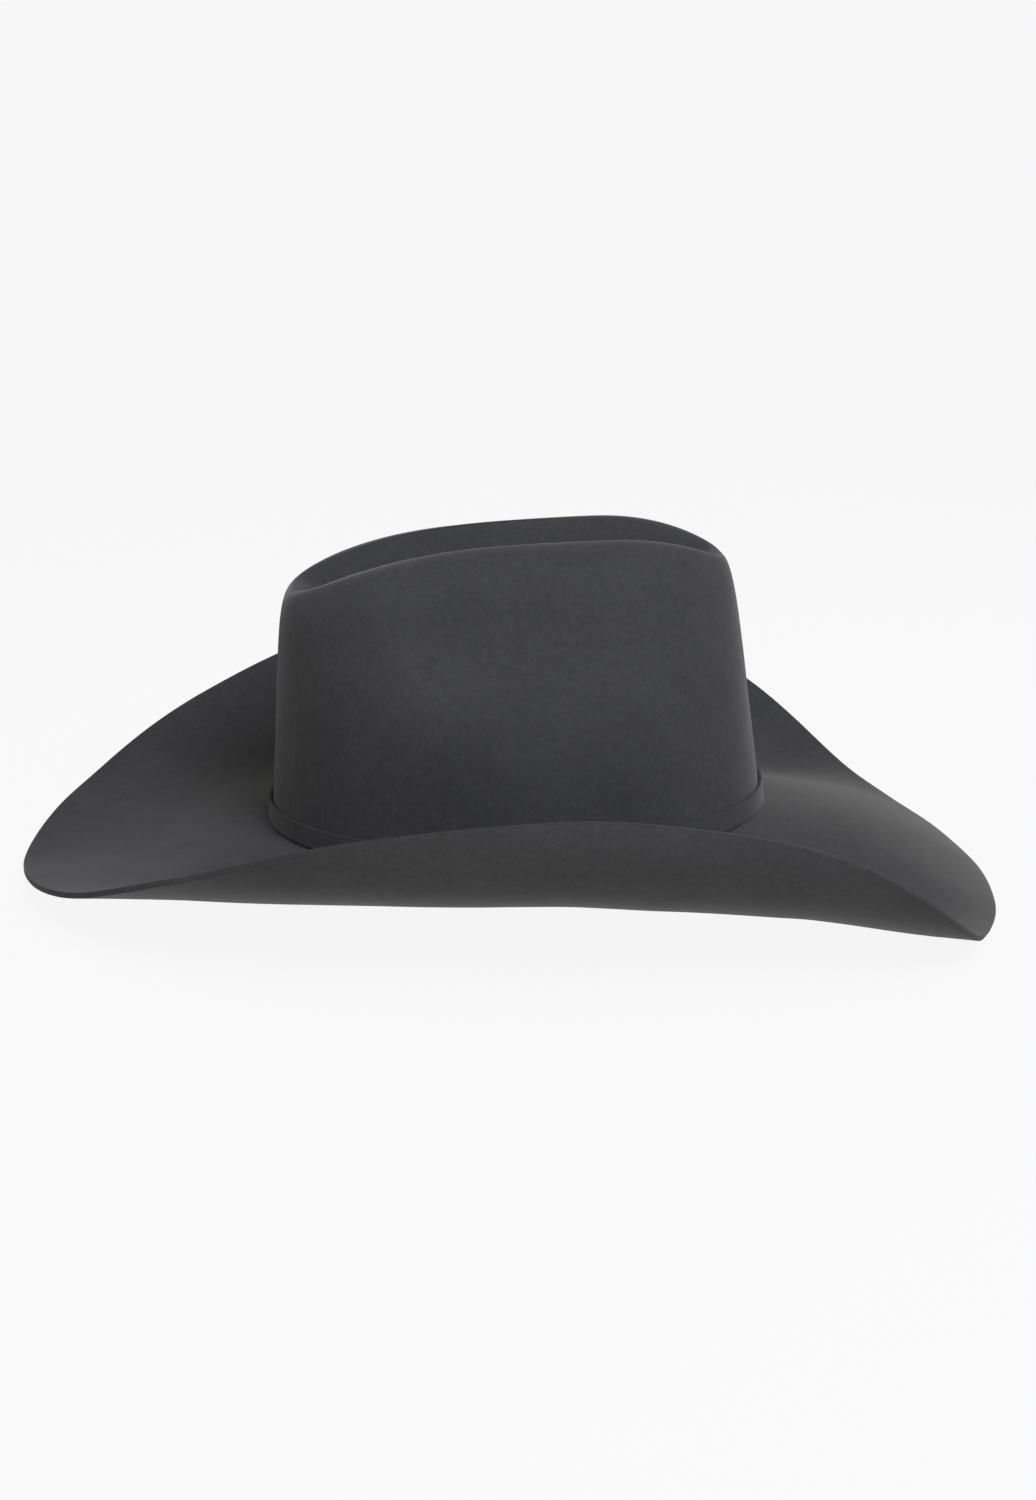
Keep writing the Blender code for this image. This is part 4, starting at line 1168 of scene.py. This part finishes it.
def make_camera():
    """The camera at the hat's right side, a little above it."""
    level = math.cos(CAMERA_RISE)
    direction = Vector((math.sin(CAMERA_SWING) * level, -math.cos(CAMERA_SWING) * level,
                        math.sin(CAMERA_RISE)))
    right = (-direction).cross(Vector((0, 0, 1))).normalized()
    up = right.cross(-direction)
    rolled_right = right * math.cos(CAMERA_ROLL) + up * math.sin(CAMERA_ROLL)
    rolled_up = up * math.cos(CAMERA_ROLL) - right * math.sin(CAMERA_ROLL)
    pose = Matrix((rolled_right, rolled_up, direction)).transposed().to_4x4()
    pose.translation = CAMERA_TARGET + direction * CAMERA_DISTANCE
    lens = bpy.data.cameras.new("camera")
    lens.sensor_width = SENSOR
    lens.lens = LENS
    lens.shift_x, lens.shift_y = LENS_SHIFT
    camera = bpy.data.objects.new("camera", lens)
    bpy.context.scene.collection.objects.link(camera)
    camera.matrix_world = SET_DOWN @ pose
    bpy.context.scene.camera = camera


def make_floor():
    """A pale floor that fades into the background."""
    mesh = bpy.data.meshes.new("floor")
    corners = [(x * FLOOR_REACH, y * FLOOR_REACH, 0) for x, y in ((-1, -1), (1, -1), (1, 1), (-1, 1))]
    mesh.from_pydata(corners, [], [(0, 1, 2, 3)])
    floor = bpy.data.objects.new("floor", mesh)
    bpy.context.scene.collection.objects.link(floor)
    made = Finish("floor_paper", (FLOOR_ALBEDO,) * 3, 0.95, Specular_IOR_Level=0.0)
    made.shader.inputs["Emission Color"].default_value = (1, 1, 1, 1)
    away = made.add("ShaderNodeVectorMath", operation="LENGTH")
    made.link(made.place, away.inputs[0])
    fade = made.span(away.outputs["Value"], *FLOOR_FADE)
    made.colour(made.blend(fade, (FLOOR_ALBEDO,) * 3, (0.0, 0.0, 0.0)))
    made.link(made.span(fade, 0, 1, FLOOR_GLOW, BACKGROUND), made.shader.inputs["Emission Strength"])
    mesh.materials.append(made.material)


def make_light():
    """Two large soft lamps, and a studio that is bright at the horizon and dim elsewhere."""
    for name, swing, rise, energy, size, colour in LAMPS:
        lamp = bpy.data.lights.new(name, "AREA")
        lamp.shape = "DISK"
        lamp.size = size
        lamp.energy = energy
        lamp.color = colour
        holder = bpy.data.objects.new(name, lamp)
        bpy.context.scene.collection.objects.link(holder)
        swing, rise = math.radians(swing), math.radians(rise)
        direction = Vector((math.cos(swing) * math.cos(rise), math.sin(swing) * math.cos(rise),
                            math.sin(rise)))
        holder.location = direction * LAMP_DISTANCE
        holder.rotation_euler = (holder.location - LAMP_AIM).to_track_quat("Z", "Y").to_euler()
    studio = bpy.data.worlds.new("studio")
    studio.use_nodes = True
    made = Nodes(studio.node_tree, "Generated")
    split = made.add("ShaderNodeSeparateXYZ")
    made.link(made.place, split.inputs["Vector"])
    glow = 0.0
    for axis, sharpness, strength in FILLS:
        toward = made.add("ShaderNodeVectorMath", operation="DOT_PRODUCT")
        made.link(made.place, toward.inputs[0])
        toward.inputs[1].default_value = Vector(axis).normalized()
        lobe = made.sum(made.sum(toward.outputs["Value"], 0.0, "MAXIMUM"), sharpness, "POWER")
        glow = made.sum(made.times(lobe, strength), glow)
    horizon = made.span(split.outputs["Z"], *HORIZON)
    steady = made.times(made.sum(1.0, horizon, "SUBTRACT"), BACKGROUND)
    light = made.sum(steady, made.times(glow, horizon))
    background = studio.node_tree.nodes["Background"]
    made.link(light, background.inputs["Strength"])
    background.inputs["Color"].default_value = (1, 1, 1, 1)
    bpy.context.scene.world = studio
    bpy.context.scene.view_settings.view_transform = "Standard"


make_camera()
make_floor()
make_light()
